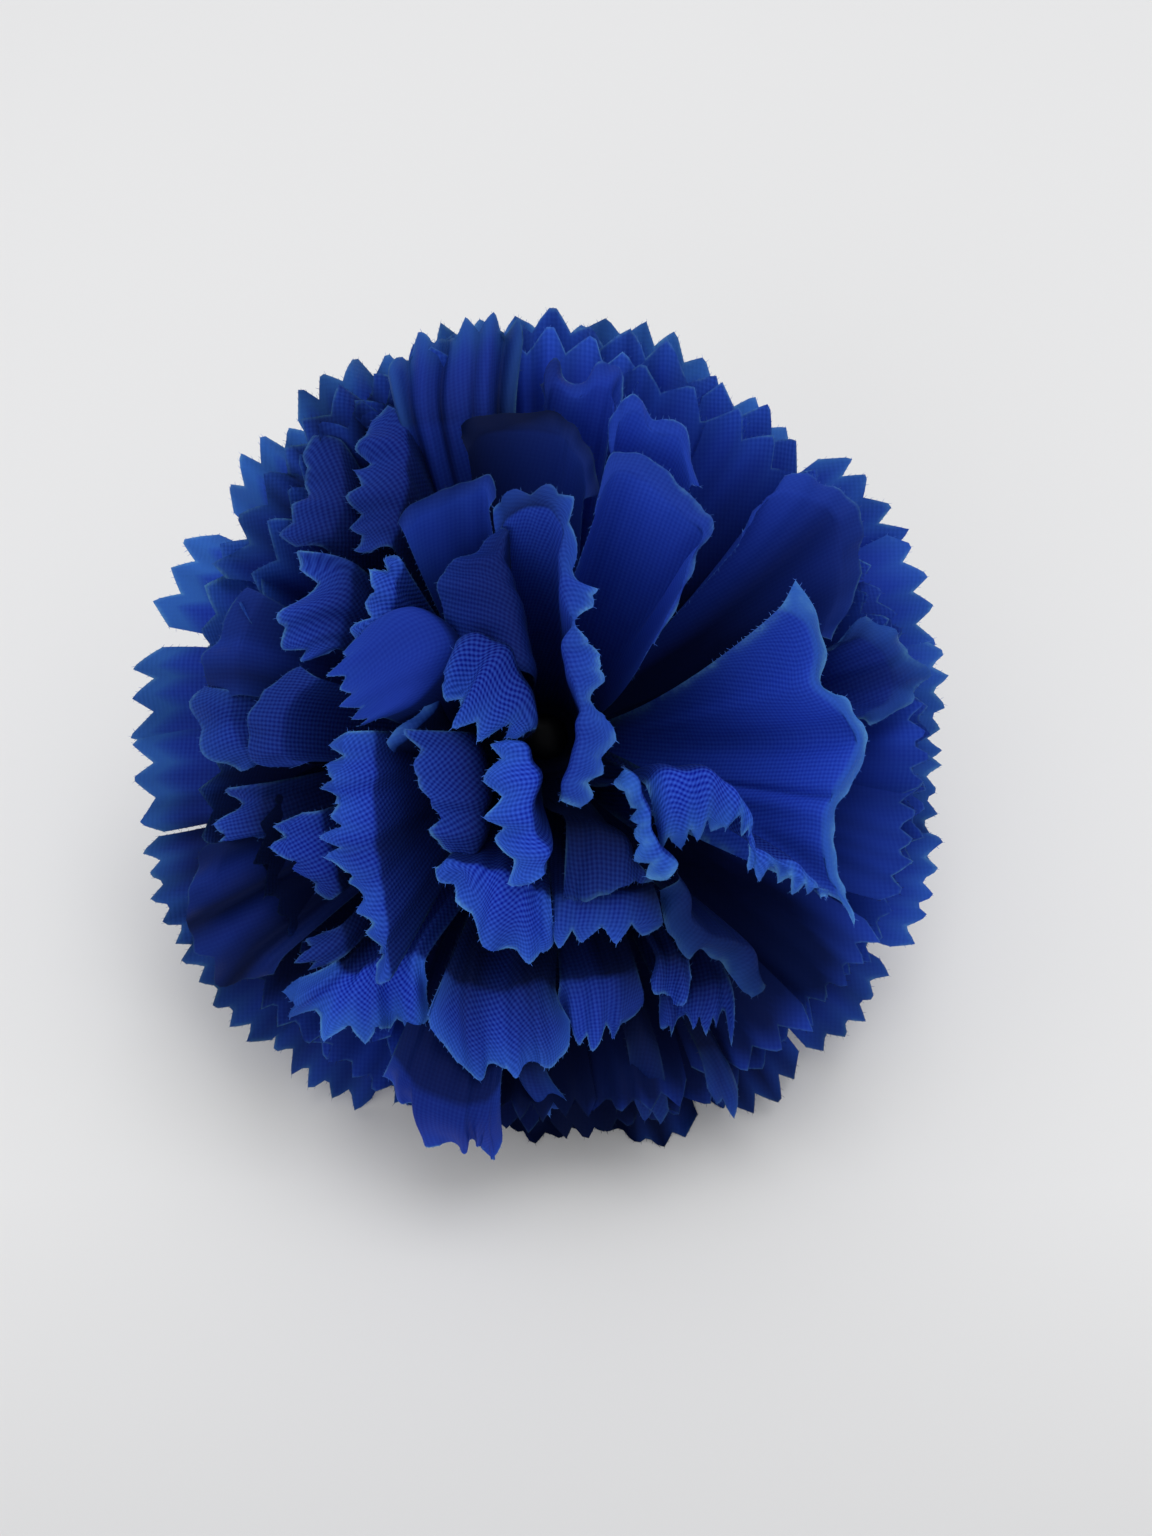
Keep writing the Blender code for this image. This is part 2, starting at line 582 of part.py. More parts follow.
def peg(top, finish):
    """The pin through every hub, with its round head over the last one."""
    under_head = top + THICKNESS / 2 + SEAT_GAP
    profile = (
        (PIN_RADIUS - 0.3, PIN_FOOT), (PIN_RADIUS, PIN_FOOT + 0.6), (PIN_RADIUS, under_head),
        (HEAD_RADIUS, under_head), (HEAD_RADIUS, under_head + 0.6), (HEAD_RADIUS * 0.7, under_head + 1.5),
        (HEAD_RADIUS * 0.25, under_head + 1.9),
    )
    return new_object("peg", ring_mesh("peg", [circle(*row, 20) for row in profile], closed=False), finish)


def calyx(finish):
    """The cup with its sepals and stub. The stub's low edge is cut flat where it rests."""
    bore = PIN_RADIUS + SEAT_GAP
    star = []
    for i in range(CALYX_SIDES):
        turn = math.tau * i / CALYX_SIDES
        point = abs(math.cos(SEPALS * turn / 2)) ** 2.2
        radius = SEPAL_WAIST + (SEPAL_RADIUS - SEPAL_WAIST) * point
        star.append((radius * math.cos(turn), radius * math.sin(turn)))
    rings = [circle(bore, PIN_FOOT - SEAT_GAP, CALYX_SIDES), circle(bore, CALYX_TOP, CALYX_SIDES)]
    rings.append([(x, y, CALYX_TOP) for x, y in star])
    rings.append([(x, y, CALYX_TOP - 0.8) for x, y in star])
    rings += [circle(radius, out, CALYX_SIDES) for out, radius in CALYX_PROFILE]
    stub_end = FLOOR + STUB_RADIUS - STUB_DIP
    rings += [circle(STUB_RADIUS, -27.0, CALYX_SIDES), circle(STUB_RADIUS, stub_end, CALYX_SIDES)]
    made = new_object("calyx", ring_mesh("calyx", rings, closed=False), finish)
    work = bmesh.new()
    work.from_mesh(made.data)
    cut = bmesh.ops.bisect_plane(
        work, geom=work.verts[:] + work.edges[:] + work.faces[:],
        plane_co=(0, 0, FLOOR * math.sin(FACE_TILT) * MM), plane_no=(0, 0, -1), clear_outer=True,
    )
    edges = [item for item in cut["geom_cut"] if isinstance(item, bmesh.types.BMEdge)]
    bmesh.ops.holes_fill(work, edges=edges)
    bmesh.ops.triangulate(work, faces=work.faces)
    work.to_mesh(made.data)
    work.free()
    return made


def set_down(objects):
    """Moves everything so that the floor is at z = 0 and the middle of the box is over the origin."""
    corners = np.array([vertex.co for made in objects for vertex in made.data.vertices])
    low, high = corners.min(axis=0), corners.max(axis=0)
    shift = Matrix.Translation(Vector((-(low[0] + high[0]) / 2, -(low[1] + high[1]) / 2, -low[2])))
    for made in objects:
        made.data.transform(shift)


def main():
    for found in list(bpy.data.objects):
        bpy.data.objects.remove(found)
    cloth = material("blue_cloth", (0.010, 0.030, 0.330), 0.55)
    green = material("green_plastic", (0.055, 0.160, 0.045), 0.45)
    dark = material("peg_plastic", (0.012, 0.014, 0.020), 0.50)
    objects = []
    for number, (name, disc) in enumerate(OUTER_DISCS.items()):
        objects.append(new_object(name, outer_disc(name, disc, number * HUB_STEP), cloth))
    for number, name in enumerate(reversed(WIDE_PETALS), len(OUTER_DISCS)):
        objects.append(inner_disc(name, number * HUB_STEP, cloth))
    top = (len(OUTER_DISCS) + len(WIDE_PETALS) - 1) * HUB_STEP
    objects.append(peg(top, dark))
    objects.append(calyx(green))
    set_down(objects)


if __name__ == "__main__":
    main()
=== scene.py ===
"""The looks of an artificial carnation head: pinked, frayed discs of woven cloth on a peg and a calyx.

The file is laid out as an add-on and is run as a script. Each operator makes one group of pieces in the
part's frame. Lengths in the tables are millimetres in the bloom's own frame: right and up across its face,
out along its axis.
"""

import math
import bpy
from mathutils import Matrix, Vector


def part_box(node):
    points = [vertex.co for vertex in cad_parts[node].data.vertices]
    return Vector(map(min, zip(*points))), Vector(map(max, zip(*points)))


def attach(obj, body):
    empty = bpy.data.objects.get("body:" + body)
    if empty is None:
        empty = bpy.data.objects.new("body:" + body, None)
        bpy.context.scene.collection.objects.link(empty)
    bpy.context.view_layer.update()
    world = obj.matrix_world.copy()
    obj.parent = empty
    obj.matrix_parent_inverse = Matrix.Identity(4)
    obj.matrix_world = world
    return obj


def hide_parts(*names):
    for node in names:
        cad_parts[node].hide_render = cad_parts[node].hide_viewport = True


bl_info = {
    "name": "Cloth carnation head",
    "version": (1, 0, 0),
    "blender": (4, 5, 0),
    "location": "View3D > Sidebar > Carnation",
    "description": "Makes a pinked cloth carnation head with its calyx, peg and stage",
    "category": "Object",
}

from typing import NamedTuple

import bmesh
import bpy
import numpy as np
from bpy.props import FloatProperty, FloatVectorProperty, IntProperty, PointerProperty
from mathutils import Matrix

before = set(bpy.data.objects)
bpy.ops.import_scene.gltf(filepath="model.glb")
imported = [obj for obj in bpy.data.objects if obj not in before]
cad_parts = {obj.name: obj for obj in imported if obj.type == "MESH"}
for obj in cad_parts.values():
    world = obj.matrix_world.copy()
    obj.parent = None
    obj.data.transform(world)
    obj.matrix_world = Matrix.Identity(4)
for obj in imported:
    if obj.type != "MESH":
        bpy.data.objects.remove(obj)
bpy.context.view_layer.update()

MM = 0.001

# How the bloom lies, as in the solids
FACE_TILT = math.radians(45)
EYE = 230  # petal places are given as they show from this far in front of the rim
RIM_PLANE = 5  # the height of the rim over the lowest hub
FLOOR = -41.4  # up plus out where the floor is
CLOTH_LIFT = 0.15  # how far the thin cloth's middle stays above the floor
HOLE_RADIUS = 1.6
HUB_STEP = 1.0  # from one disc's hub to the next

# The camera, the lights and the floor
PICTURE_HIGH = 1536  # pixels
PIXEL = 0.11  # mm at the rim
CAMERA_RIGHT, CAMERA_UP = 3.41, -3.41
SENSOR_HIGH = 36
LAMP_SIZE = 0.80  # metres, and so are the places of the lamps
KEY_PLACE = (-0.45, -1.20, 0.50)
TOP_PLACE = (0.15, 0.05, 1.20)
SKY_COLOUR = (0.98, 0.99, 1.0, 1)
PAINTED_FRONT_SHADOW = 0.86  # painted shadow on the floor in front, as of whoever takes the picture standing in the light
SHADE_START, SHADE_END = -0.035, -0.080  # where that shade begins and is full along Y, in metres


class Disc(NamedTuple):
    """An outer disc. Values that change round it are evenly spaced from the right, every 30 or 45 degrees."""

    petals: int
    rim_radius: float
    rise: float  # of the rim over the hub
    wave: float  # height of the soft waves at the rim
    first_slit: float  # radians
    pleats: int
    edge_light: float  # how much painted light lies along its cut rim in all
    shades: tuple  # how deep in shade it lies
    insets: tuple  # how far inside its own radius its rim is
    overlaps: tuple  # how much wider than its share a petal is at the rim
    covered_shade: float = 1.0  # how deep the painted shade is where others lie on it


# The outer discs
FLAT_HUB_RADIUS = 7
OUTER_DISCS = {
    "cloth_disc_1": Disc(
        petals=22, rim_radius=46.3, rise=1.0, wave=1.5, first_slit=0.26, pleats=60, edge_light=1.0, covered_shade=0.5,
        shades=(0.26, 0.12, 0.04, 0.10, 0.18, 0.08, 0.40, 0.56, 0.46, 0.90, 0.56, 0.30),
        insets=(1.6, -1.3, 0.5, -1.5, -0.9, -0.1, -1.5, -1.4, -1.3, 0.0, -1.9, -1.0),
        overlaps=(0.08, 0.10, 0.15, -0.04, -0.13, 0.02, 0.10, -0.03),
    ),
    "cloth_disc_2": Disc(
        petals=21, rim_radius=44.4, rise=8.5, wave=1.9, first_slit=0.20, pleats=63, edge_light=0.22,
        shades=(0.26, 0.26, 0.06, 0.00, 0.34, 0.24, 0.72, 0.76, 0.20, 0.90, 0.58, 0.30),
        insets=(2.4, 3.8, 1.4, -1.8, 0.8, 3.4, 8.0, 3.0, 1.2, 0.4, 0.6, 1.4),
        overlaps=(0.10, 0.12, 0.30, 0.22, 0.10, 0.15, 0.12, 0.05),
    ),
    "cloth_disc_3": Disc(
        petals=20, rim_radius=40.5, rise=15.5, wave=1.6, first_slit=0.12, pleats=68, edge_light=0.16,
        shades=(0.26, 0.28, 0.04, 0.00, 0.38, 0.22, 0.72, 0.78, 0.24, 0.90, 0.58, 0.32),
        insets=(0.4, 3.2, 0.2, -2.8, 0.6, 5.2, 15.0, 7.0, 3.4, 0.6, -1.2, -1.2),
        overlaps=(0.12, 0.12, 0.35, 0.25, 0.15, 0.20, 0.15, 0.10),
    ),
}
SLIT_START = 0.50  # share of the way from the hub to the rim where the slits start
RISE_CURVE = 1.25  # how late a disc rises towards its rim
SHADED_SHARE = 0.97  # share of the way to the rim from which a disc is lit in full
LIGHT_FADE = 0.8  # under 1, so the shade from there inwards deepens fast at first
SHADES_START, SHADES_RISE = 0.3, 0.4  # where on the way a disc's own shade starts, and over what share
PETAL_SWIRL = 0.035  # how far round a petal's sides curve, in radians
FEWEST_TEETH = 3  # on a petal whose teeth have their full depth
RIM_DEPTH = 2.9  # of a tooth at the rim
PETAL_TILT = 1.1  # how far an outer petal leans, twists and folds out of its disc at the rim
PETAL_TWIST = 1.7
PETAL_PLEAT = 1.2
TEETH_VARY = (-0.4, 0.4)  # what a petal's own draws of its count of teeth and its overlap lie between
OVERLAP_VARY = (-0.04, 0.08)
LENGTH_VARY = (0, 0.010)  # the middle and the spread of its other draws
TURN_VARY = (0, 0.10)
TWIST_VARY = (0.5, 0.7)
PLEAT_VARY = (0.4, 0.7)
CURL_VARY = (0.2, 0.8)
DEPTH_VARY = (0, 0.08)
PLEAT_HEIGHT = 2.0  # of a sharp pleat at the rim
PLEAT_SHADE = 0.5  # how much darker its valley is

# How the outer discs change together round the bloom, from the right. Every 45 degrees: how strong their
# waves are and how plainly the weave shows. Every 30 degrees: how sharply they are pleated, over what share
# of their radius the light fades, how much painted light lies along their cut edge, and how many teeth a
# petal has.
RUFFLES = (0.90, 0.60, 1.60, 1.20, 0.8, 1.1, 1.0, 1.0)
RIM_WEAVES = (0.4, 0.6, 0.5, 0.8, 1.3, 0.5, 0.3, 0.3)
PLEATS = (0.20, 0.12, 0.28, 0.90, 1.00, 0.40, 0.25, 0.40, 0.45, 0.60, 0.50, 0.25)
LIGHT_REACH = (0.85, 0.45, 0.78, 0.95, 0.42, 0.60, 0.90, 0.42, 0.60, 0.36, 0.28, 0.80)
RIM_EDGE_LIGHT = (0.8, 0.5, 1.3, 1.5, 1.2, 2.6, 1.7, 0.7, 0.4, 0.2, 0.3, 0.5)
RIM_TEETH = (5, 4, 3, 4, 4, 3, 3, 5, 5, 6, 4, 5)

# Soft shades and lights on the outer discs: how far round in degrees and how far out their middle is, half
# their width both ways, and how much deeper in shade the cloth is there
SPOTS = (
    (319, 33, 7, 9, 0.50), (292, 35, 5, 3, -0.22), (92, 37.5, 6, 2.5, -0.30), (247, 38, 9, 3, -0.22),
    (196, 39.5, 6, 3, 0.24), (346, 41.5, 9, 3.5, 0.18), (2, 37.5, 6, 2.5, -0.16), (150, 38, 8, 4, -0.10),
    (311, 42, 6, 2.6, -0.28),
)

# The cloth's finish
FRAY = 0.20  # width of the frayed line along a wide petal's cut edge
RIM_FRAY = 0.24  # and along an outer petal's
# painted light along a wide petal's cut edge, unless it has its own
PETAL_EDGE_LIGHT = 0.12
EDGE_LIGHT_WIDTH = 1.8  # of the painted light along a cut edge, where the thin cloth shows lit through
INSIDE = 9.0  # as far from an edge as counts
EDGE_SLANT = 0.6  # a tooth's side lies aslant, so the edge is nearer than it is straight along the cloth
SIDE_LIFT = 3.0  # how much farther from a cut edge an outer petal's sides count, which are hardly frayed
HUB_WEAVE = 0.3
WEAVE_LEAN = 0.25  # how far from a petal's own line its threads may run, in radians
LEAST_THREAD = (0.7, 0.7, 0.25)  # a loose thread's smallest and largest scale, along its length last
MOST_THREAD = (1.2, 1.2, 1.3)
THREAD_TAPER = 0.3  # how thick its tip is, as a share of its root
PAINTED_SHADE_COLOUR = (0.0017, 0.0040, 0.0195, 1)  # painted shade: the colour that cloth and threads are darkened towards where they lie deep in shade
SHADED_THREAD_GAPS = (0.05, 0.10, 0.58)  # shares of the cloth's colour painted between its threads as shade and on top of them as highlight
LIT_THREAD_TOPS = (2.10, 2.20, 1.38)
CHECK_HEIGHT, RIB_HEIGHT, CORD_HEIGHT = 0.06, 0.20, 0.29  # of the weave's squares and its threads each way
THREAD_LIGHT = 0.80  # how much the painted light on the threads' tops, soft clouds and each petal's own tone lighten the cloth
CLOUD_LIGHT = 0.24
PETAL_LIGHT = 0.05

# The inner discs: hub radius and the angle at which a petal leaves the hub
INNER_DISCS = {"cloth_disc_4": (6.4, 32), "cloth_disc_5": (5.2, 58), "cloth_disc_6": (4.0, 80)}


class Petal(NamedTuple):
    """A wide petal of an inner disc: how it is cut and folded, and how it lies in the light."""

    root: tuple  # middle and half width of its root in degrees, the latter under 0 where ribs go clockwise
    teeth: int
    shade: tuple  # how deep in shade its wall, its crest and its edge lie, from 0 in the light
    ribs: list  # in order across it, each its crest, where the cloth turns over, and its end at the cut edge
    cut: float = 1.0  # how much of a tooth's depth is cut: some petals are cut plain or by their ribs
    weave: float = 1.0  # how plainly its weave shows
    lean: float = None  # how far its threads run from its own line in radians, where that shows
    pale: float = PETAL_EDGE_LIGHT  # how much painted light lies along its cut edge
    fray: tuple = (FRAY, FRAY)  # width of the frayed line, evenly spaced across the petal
    slow: float = 0.6  # how late the painted shade on its wall deepens towards its root: most soon, and broad ones later
    calm: float = 1.0  # how much it has of the small waves
    shadows: tuple = ()  # of neighbours: share across it, depth, half width and the wall's own depth, if any
    folds: tuple = ()  # soft ones from root to edge: share across it, height and half width as a share
    wall_folds: bool = False  # whether its folds end at the crest


# The wide petals, from the innermost disc outwards
WIDE_PETALS = {
    "cloth_disc_6": {
        "centre_hood": Petal(
            root=(35, -70), teeth=14, shade=(0.3, 0.4, 0.0), cut=0.62, weave=0.7, pale=0.35, slow=1.1,
            calm=0.7, fray=(0.1, 0.16, 0.4, 0.45, 0.45), shadows=((0.13, 0.46, 0.14, 0.0),),
            ribs=[
                ((-4.6, 20.5, 31.0), (-5.0, 23.4, 32.0)), ((-3.8, 23.6, 33.0), (-4.9, 26.4, 33.0)),
                ((-1.0, 25.0, 34.5), (-1.4, 27.3, 33.8)), ((1.3, 24.6, 35.4), (2.4, 26.9, 34.4)),
                ((2.3, 21.8, 36.2), (4.3, 24.0, 34.8)), ((2.4, 18.2, 36.8), (4.3, 17.6, 35.5)),
                ((2.6, 15.2, 37.0), (6.9, 14.6, 35.0)), ((3.4, 12.4, 37.3), (4.6, 12.2, 36.6)),
                ((2.8, 9.4, 37.5), (5.9, 9.6, 35.6)), ((3.3, 6.6, 37.5), (7.8, 6.9, 35.2)),
                ((4.4, 3.6, 37.5), (6.3, 3.4, 36.3)), ((4.5, 1.2, 37.5), (8.0, 1.5, 35.2)),
                ((4.0, -2.0, 37.2), (8.3, -3.4, 34.8)), ((3.0, -5.4, 36.6), (6.6, -5.6, 35.0)),
                ((2.3, -7.6, 36.0), (5.7, -8.7, 34.4)),
            ],
        ),
        "left_fold": Petal(
            root=(150, 26), teeth=6, shade=(0.84, 0.84, 0.6), cut=0.1, weave=0.7, slow=1.0, calm=0.5,
            fray=(0.05, 0.05),
            ribs=[
                ((-3.6, 22.2, 33.0), (-4.2, 22.4, 32.0)), ((-4.0, 19.9, 33.4), (-7.0, 20.6, 30.6)),
                ((-3.6, 17.8, 33.8), (-9.9, 18.8, 29.4)), ((-3.0, 15.5, 34.3), (-11.3, 16.9, 28.8)),
                ((-2.2, 12.0, 34.8), (-10.9, 13.4, 29.2)), ((-1.6, 9.2, 35.0), (-10.2, 9.9, 30.0)),
                ((-1.4, 6.6, 34.6), (-9.4, 6.8, 30.0)),
            ],
        ),
        "woven_lip": Petal(
            root=(184, 22), teeth=5, shade=(0.9, 0.6, 0.0), weave=1.4, lean=-1.09, pale=0.35,
            ribs=[
                ((-9.4, 9.8, 33.6), (-10.0, 8.2, 33.0)), ((-8.0, 10.7, 34.6), (-11.3, 4.9, 32.6)),
                ((-5.8, 10.4, 35.4), (-10.0, 2.4, 32.6)), ((-3.7, 8.8, 35.9), (-10.2, -0.1, 32.4)),
                ((-2.0, 5.7, 36.1), (-7.2, -1.1, 33.0)), ((-0.8, 2.8, 36.1), (-4.6, -0.8, 34.0)),
                ((-0.3, 0.4, 35.8), (-2.2, -0.3, 34.8)),
            ],
        ),
        "lower_strip": Petal(
            root=(236, 28), teeth=5, shade=(0.5, 0.0, 0.0), cut=0.8, lean=0.05, pale=0.4,
            ribs=[
                ((-2.6, -0.6, 35.0), (-5.6, -0.9, 34.2)), ((-1.3, -2.2, 35.5), (-6.3, -2.4, 33.8)),
                ((-0.5, -4.8, 35.8), (-6.5, -6.2, 33.5)), ((-1.1, -8.6, 35.7), (-6.0, -9.0, 33.4)),
                ((-0.3, -11.2, 35.5), (-6.4, -11.4, 33.1)), ((0.7, -13.6, 35.0), (-4.2, -14.4, 32.8)),
                ((0.3, -15.6, 34.4), (-2.6, -17.3, 32.4)),
            ],
        ),
    },
    "cloth_disc_5": {
        "right_strip": Petal(
            root=(322, -18), teeth=6, shade=(0.3, 0.0, 0.0), cut=0.8, pale=0.8, fray=(0.5, 0.6),
            ribs=[
                ((9.2, -4.0, 32.6), (8.4, -4.6, 32.0)), ((10.8, -5.9, 33.4), (8.9, -7.6, 32.2)),
                ((11.8, -8.4, 33.7), (8.7, -9.7, 32.0)), ((12.4, -10.9, 33.7), (10.0, -11.2, 32.0)),
                ((13.2, -13.0, 33.2), (9.9, -14.8, 31.4)), ((14.9, -14.6, 32.0), (12.8, -16.8, 30.6)),
            ],
        ),
        "ribbed_apron": Petal(
            root=(284, 20), teeth=5, shade=(1.0, 1.0, 0.68), cut=0.12, lean=0.0,
            ribs=[
                ((2.8, -10.2, 31.0), (2.4, -18.3, 31.2)), ((5.0, -10.0, 31.3), (4.7, -18.7, 31.4)),
                ((7.2, -10.6, 31.3), (7.4, -17.8, 31.4)), ((9.4, -11.9, 31.0), (9.9, -16.7, 31.2)),
                ((10.7, -13.8, 30.6), (12.3, -16.5, 30.8)),
            ],
        ),
        "right_wave": Petal(
            root=(328, 22), teeth=12, shade=(0.5, 0.05, 0.0), weave=1.1, lean=1.1, pale=0.6, fray=(0.5, 0.4),
            folds=((0.25, -0.4, 0.06), (0.42, 0.4, 0.06), (0.7, 0.5, 0.05)),
            ribs=[
                ((11.5, -5.8, 31.0), (12.7, -12.4, 29.0)), ((13.5, -4.6, 32.0), (14.0, -13.8, 29.2)),
                ((16.0, -4.3, 32.5), (16.2, -12.8, 29.4)), ((18.4, -4.6, 32.4), (17.9, -11.6, 29.6)),
                ((20.6, -5.5, 31.8), (19.7, -12.7, 29.0)), ((22.1, -6.6, 31.2), (21.2, -11.1, 28.9)),
                ((22.8, -8.9, 30.2), (22.4, -12.4, 28.3)), ((23.3, -11.9, 29.2), (22.9, -16.8, 27.0)),
                ((25.3, -13.3, 28.2), (24.8, -16.2, 26.6)), ((27.5, -14.0, 27.2), (26.5, -17.9, 25.6)),
                ((28.9, -15.1, 26.4), (28.1, -18.2, 25.0)), ((30.1, -16.4, 25.6), (29.6, -17.2, 24.8)),
                ((31.0, -17.7, 24.9), (31.3, -19.1, 24.3)),
            ],
        ),
        "upper_right": Petal(
            root=(54, -34), teeth=11, shade=(0.22, 0.4, 0.44), cut=0.08, weave=0.3, slow=2.4, calm=0.45,
            fray=(0.05, 0.05, 0.3, 0.3, 0.05), folds=((0.3, 0.5, 0.1), (0.62, -0.6, 0.08), (0.72, 0.5, 0.06)),
            wall_folds=True,
            ribs=[
                ((5.6, 23.4, 29.0), (6.2, 26.0, 28.8)), ((8.0, 28.6, 28.2), (7.8, 31.0, 27.6)),
                ((11.2, 28.2, 28.0), (11.6, 30.4, 27.2)), ((14.2, 25.6, 28.2), (15.2, 27.4, 27.2)),
                ((16.0, 23.8, 28.6), (17.3, 25.3, 27.6)), ((17.6, 21.9, 29.0), (18.9, 22.6, 28.2)),
                ((16.5, 19.2, 29.2), (17.2, 19.4, 28.8)), ((15.0, 15.2, 29.2), (15.5, 15.2, 28.9)),
                ((12.1, 9.9, 28.6), (12.5, 9.8, 28.4)),
            ],
        ),
        "upper_shade": Petal(
            root=(95, -26), teeth=7, shade=(0.65, 0.74, 0.88), cut=0.08, weave=0.15, slow=3.0, calm=0.5,
            fray=(0.02, 0.02, 0.02, 0.2), shadows=((0.0, 0.36, 0.46),),
            ribs=[
                ((-8.2, 31.0, 24.4), (-9.0, 32.8, 24.2)), ((-6.8, 33.0, 25.0), (-7.2, 35.0, 24.6)),
                ((-2.8, 33.6, 25.4), (-2.8, 35.5, 24.8)), ((1.4, 33.2, 25.6), (1.7, 35.2, 25.0)),
                ((3.0, 31.8, 25.8), (4.0, 33.4, 25.2)), ((4.6, 29.2, 26.0), (5.8, 30.0, 25.4)),
                ((4.8, 25.8, 26.4), (6.2, 26.0, 26.0)),
            ],
        ),
        "satin_fold": Petal(
            root=(128, -20), teeth=6, shade=(0.3, 0.42, 0.74), cut=0.1, weave=0.2, slow=1.2, calm=0.4,
            fray=(0.05, 0.05), folds=((0.5, -0.5, 0.2),),
            ribs=[
                ((-15.0, 21.8, 29.2), (-15.8, 23.3, 29.8)), ((-13.6, 23.8, 29.8), (-14.4, 25.3, 30.6)),
                ((-11.0, 24.8, 30.4), (-11.4, 26.3, 31.4)), ((-8.3, 25.7, 31.0), (-8.5, 27.2, 32.0)),
                ((-6.3, 26.9, 31.4), (-5.6, 28.5, 31.6)), ((-5.7, 24.6, 31.6), (-4.9, 26.0, 31.8)),
            ],
        ),
        "left_weave": Petal(
            root=(154, 14), teeth=4, shade=(0.6, 0.3, 0.1), weave=1.2, lean=0.69, pale=0.25,
            ribs=[
                ((-15.3, 18.8, 29.2), (-16.0, 20.3, 29.0)), ((-15.8, 17.0, 29.4), (-18.7, 19.1, 28.2)),
                ((-16.4, 14.8, 29.2), (-20.3, 16.3, 27.6)), ((-16.8, 12.4, 28.8), (-20.7, 12.8, 27.0)),
                ((-17.2, 10.2, 28.4), (-22.2, 9.8, 26.4)),
            ],
        ),
        "left_lip": Petal(
            root=(178, 18), teeth=7, shade=(0.8, 0.42, 0.24), weave=0.25, calm=0.5, fray=(0.12, 0.12),
            ribs=[
                ((-16.3, 12.8, 30.2), (-19.2, 10.9, 28.8)), ((-13.9, 13.8, 31.2), (-21.6, 9.2, 28.0)),
                ((-11.5, 12.2, 31.8), (-24.0, 6.6, 27.0)), ((-10.1, 9.6, 31.8), (-23.2, 4.4, 26.6)),
                ((-11.4, 6.3, 31.2), (-22.3, 2.5, 26.4)), ((-14.2, 3.5, 30.0), (-21.2, 1.0, 26.4)),
                ((-17.4, 1.7, 28.4), (-19.3, 0.9, 27.0)),
            ],
        ),
        "thin_curl": Petal(
            root=(192, 10), teeth=3, shade=(0.9, 0.6, 0.0), cut=0.15, weave=0.4, pale=0.5, calm=0.4,
            fray=(0.35, 0.35),
            ribs=[
                ((-10.9, 5.2, 27.5), (-11.9, 6.6, 28.3)), ((-11.6, 2.8, 27.5), (-12.8, 3.4, 28.3)),
                ((-14.0, 0.2, 27.0), (-15.4, 1.0, 27.8)), ((-16.0, -1.4, 26.0), (-17.3, -0.9, 26.8)),
                ((-16.2, -3.4, 25.0), (-17.5, -3.5, 25.8)),
            ],
        ),
        "left_ridge": Petal(
            root=(206, 24), teeth=10, shade=(0.7, 0.3, 0.0), lean=0.25, pale=0.35,
            folds=((0.3, 0.5, 0.08), (0.52, -0.6, 0.06), (0.75, 0.5, 0.08)),
            ribs=[
                ((-18.7, 0.3, 28.0), (-23.6, 0.1, 26.4)), ((-18.5, -3.1, 28.6), (-24.1, -3.1, 26.0)),
                ((-18.5, -6.4, 28.6), (-25.3, -6.2, 25.4)), ((-18.5, -9.7, 28.4), (-23.8, -9.3, 25.4)),
                ((-18.7, -12.4, 28.0), (-24.2, -12.3, 25.0)), ((-17.9, -15.7, 27.6), (-22.1, -16.2, 25.0)),
                ((-17.2, -19.0, 27.2), (-21.2, -19.5, 24.8)), ((-16.9, -22.9, 26.6), (-19.5, -22.9, 24.6)),
                ((-16.9, -27.0, 25.4), (-18.5, -27.6, 24.2)),
            ],
        ),
        "dim_wave": Petal(
            root=(212, 20), teeth=6, shade=(0.95, 0.88, 0.3), cut=0.3, weave=1.1, lean=0.6,
            ribs=[
                ((-8.2, 0.0, 29.6), (-15.7, 0.6, 29.0)), ((-6.8, -2.0, 30.0), (-14.1, -1.8, 29.2)),
                ((-6.2, -4.7, 30.0), (-14.5, -4.9, 29.0)), ((-6.2, -7.5, 30.0), (-12.7, -7.0, 29.0)),
                ((-6.4, -9.7, 29.8), (-11.9, -9.4, 28.8)), ((-6.6, -11.9, 29.4), (-12.2, -11.7, 28.6)),
                ((-7.4, -14.1, 29.0), (-9.9, -13.9, 28.4)),
            ],
        ),
        "lower_fan": Petal(
            root=(252, 20), teeth=6, shade=(0.74, 0.1, 0.0), cut=0.25, lean=-0.7, pale=0.35,
            folds=((0.35, 0.5, 0.08), (0.6, -0.5, 0.08), (0.8, 0.4, 0.06)),
            ribs=[
                ((-10.6, -14.2, 30.4), (-12.0, -15.0, 29.8)), ((-8.2, -14.4, 31.2), (-10.2, -17.3, 29.3)),
                ((-5.8, -14.8, 31.4), (-8.0, -20.4, 28.8)), ((-3.6, -15.7, 31.5), (-6.0, -23.9, 28.2)),
                ((-1.6, -16.8, 31.3), (-2.8, -24.3, 28.0)), ((0.1, -17.4, 31.0), (0.0, -25.0, 27.8)),
                ((1.0, -18.3, 30.4), (1.4, -23.2, 28.0)),
            ],
        ),
        "lower_teeth": Petal(
            root=(283, 18), teeth=4, shade=(0.8, 0.66, 0.0), weave=0.8, pale=0.3, shadows=((1.0, 0.4, 0.25),),
            ribs=[
                ((1.2, -18.3, 29.4), (1.0, -22.6, 28.2)), ((3.4, -17.9, 29.8), (3.3, -24.0, 28.0)),
                ((6.6, -17.9, 30.0), (6.6, -23.6, 28.0)), ((9.8, -17.6, 29.8), (9.8, -23.2, 27.8)),
                ((12.4, -17.3, 29.2), (13.6, -22.6, 27.2)),
            ],
        ),
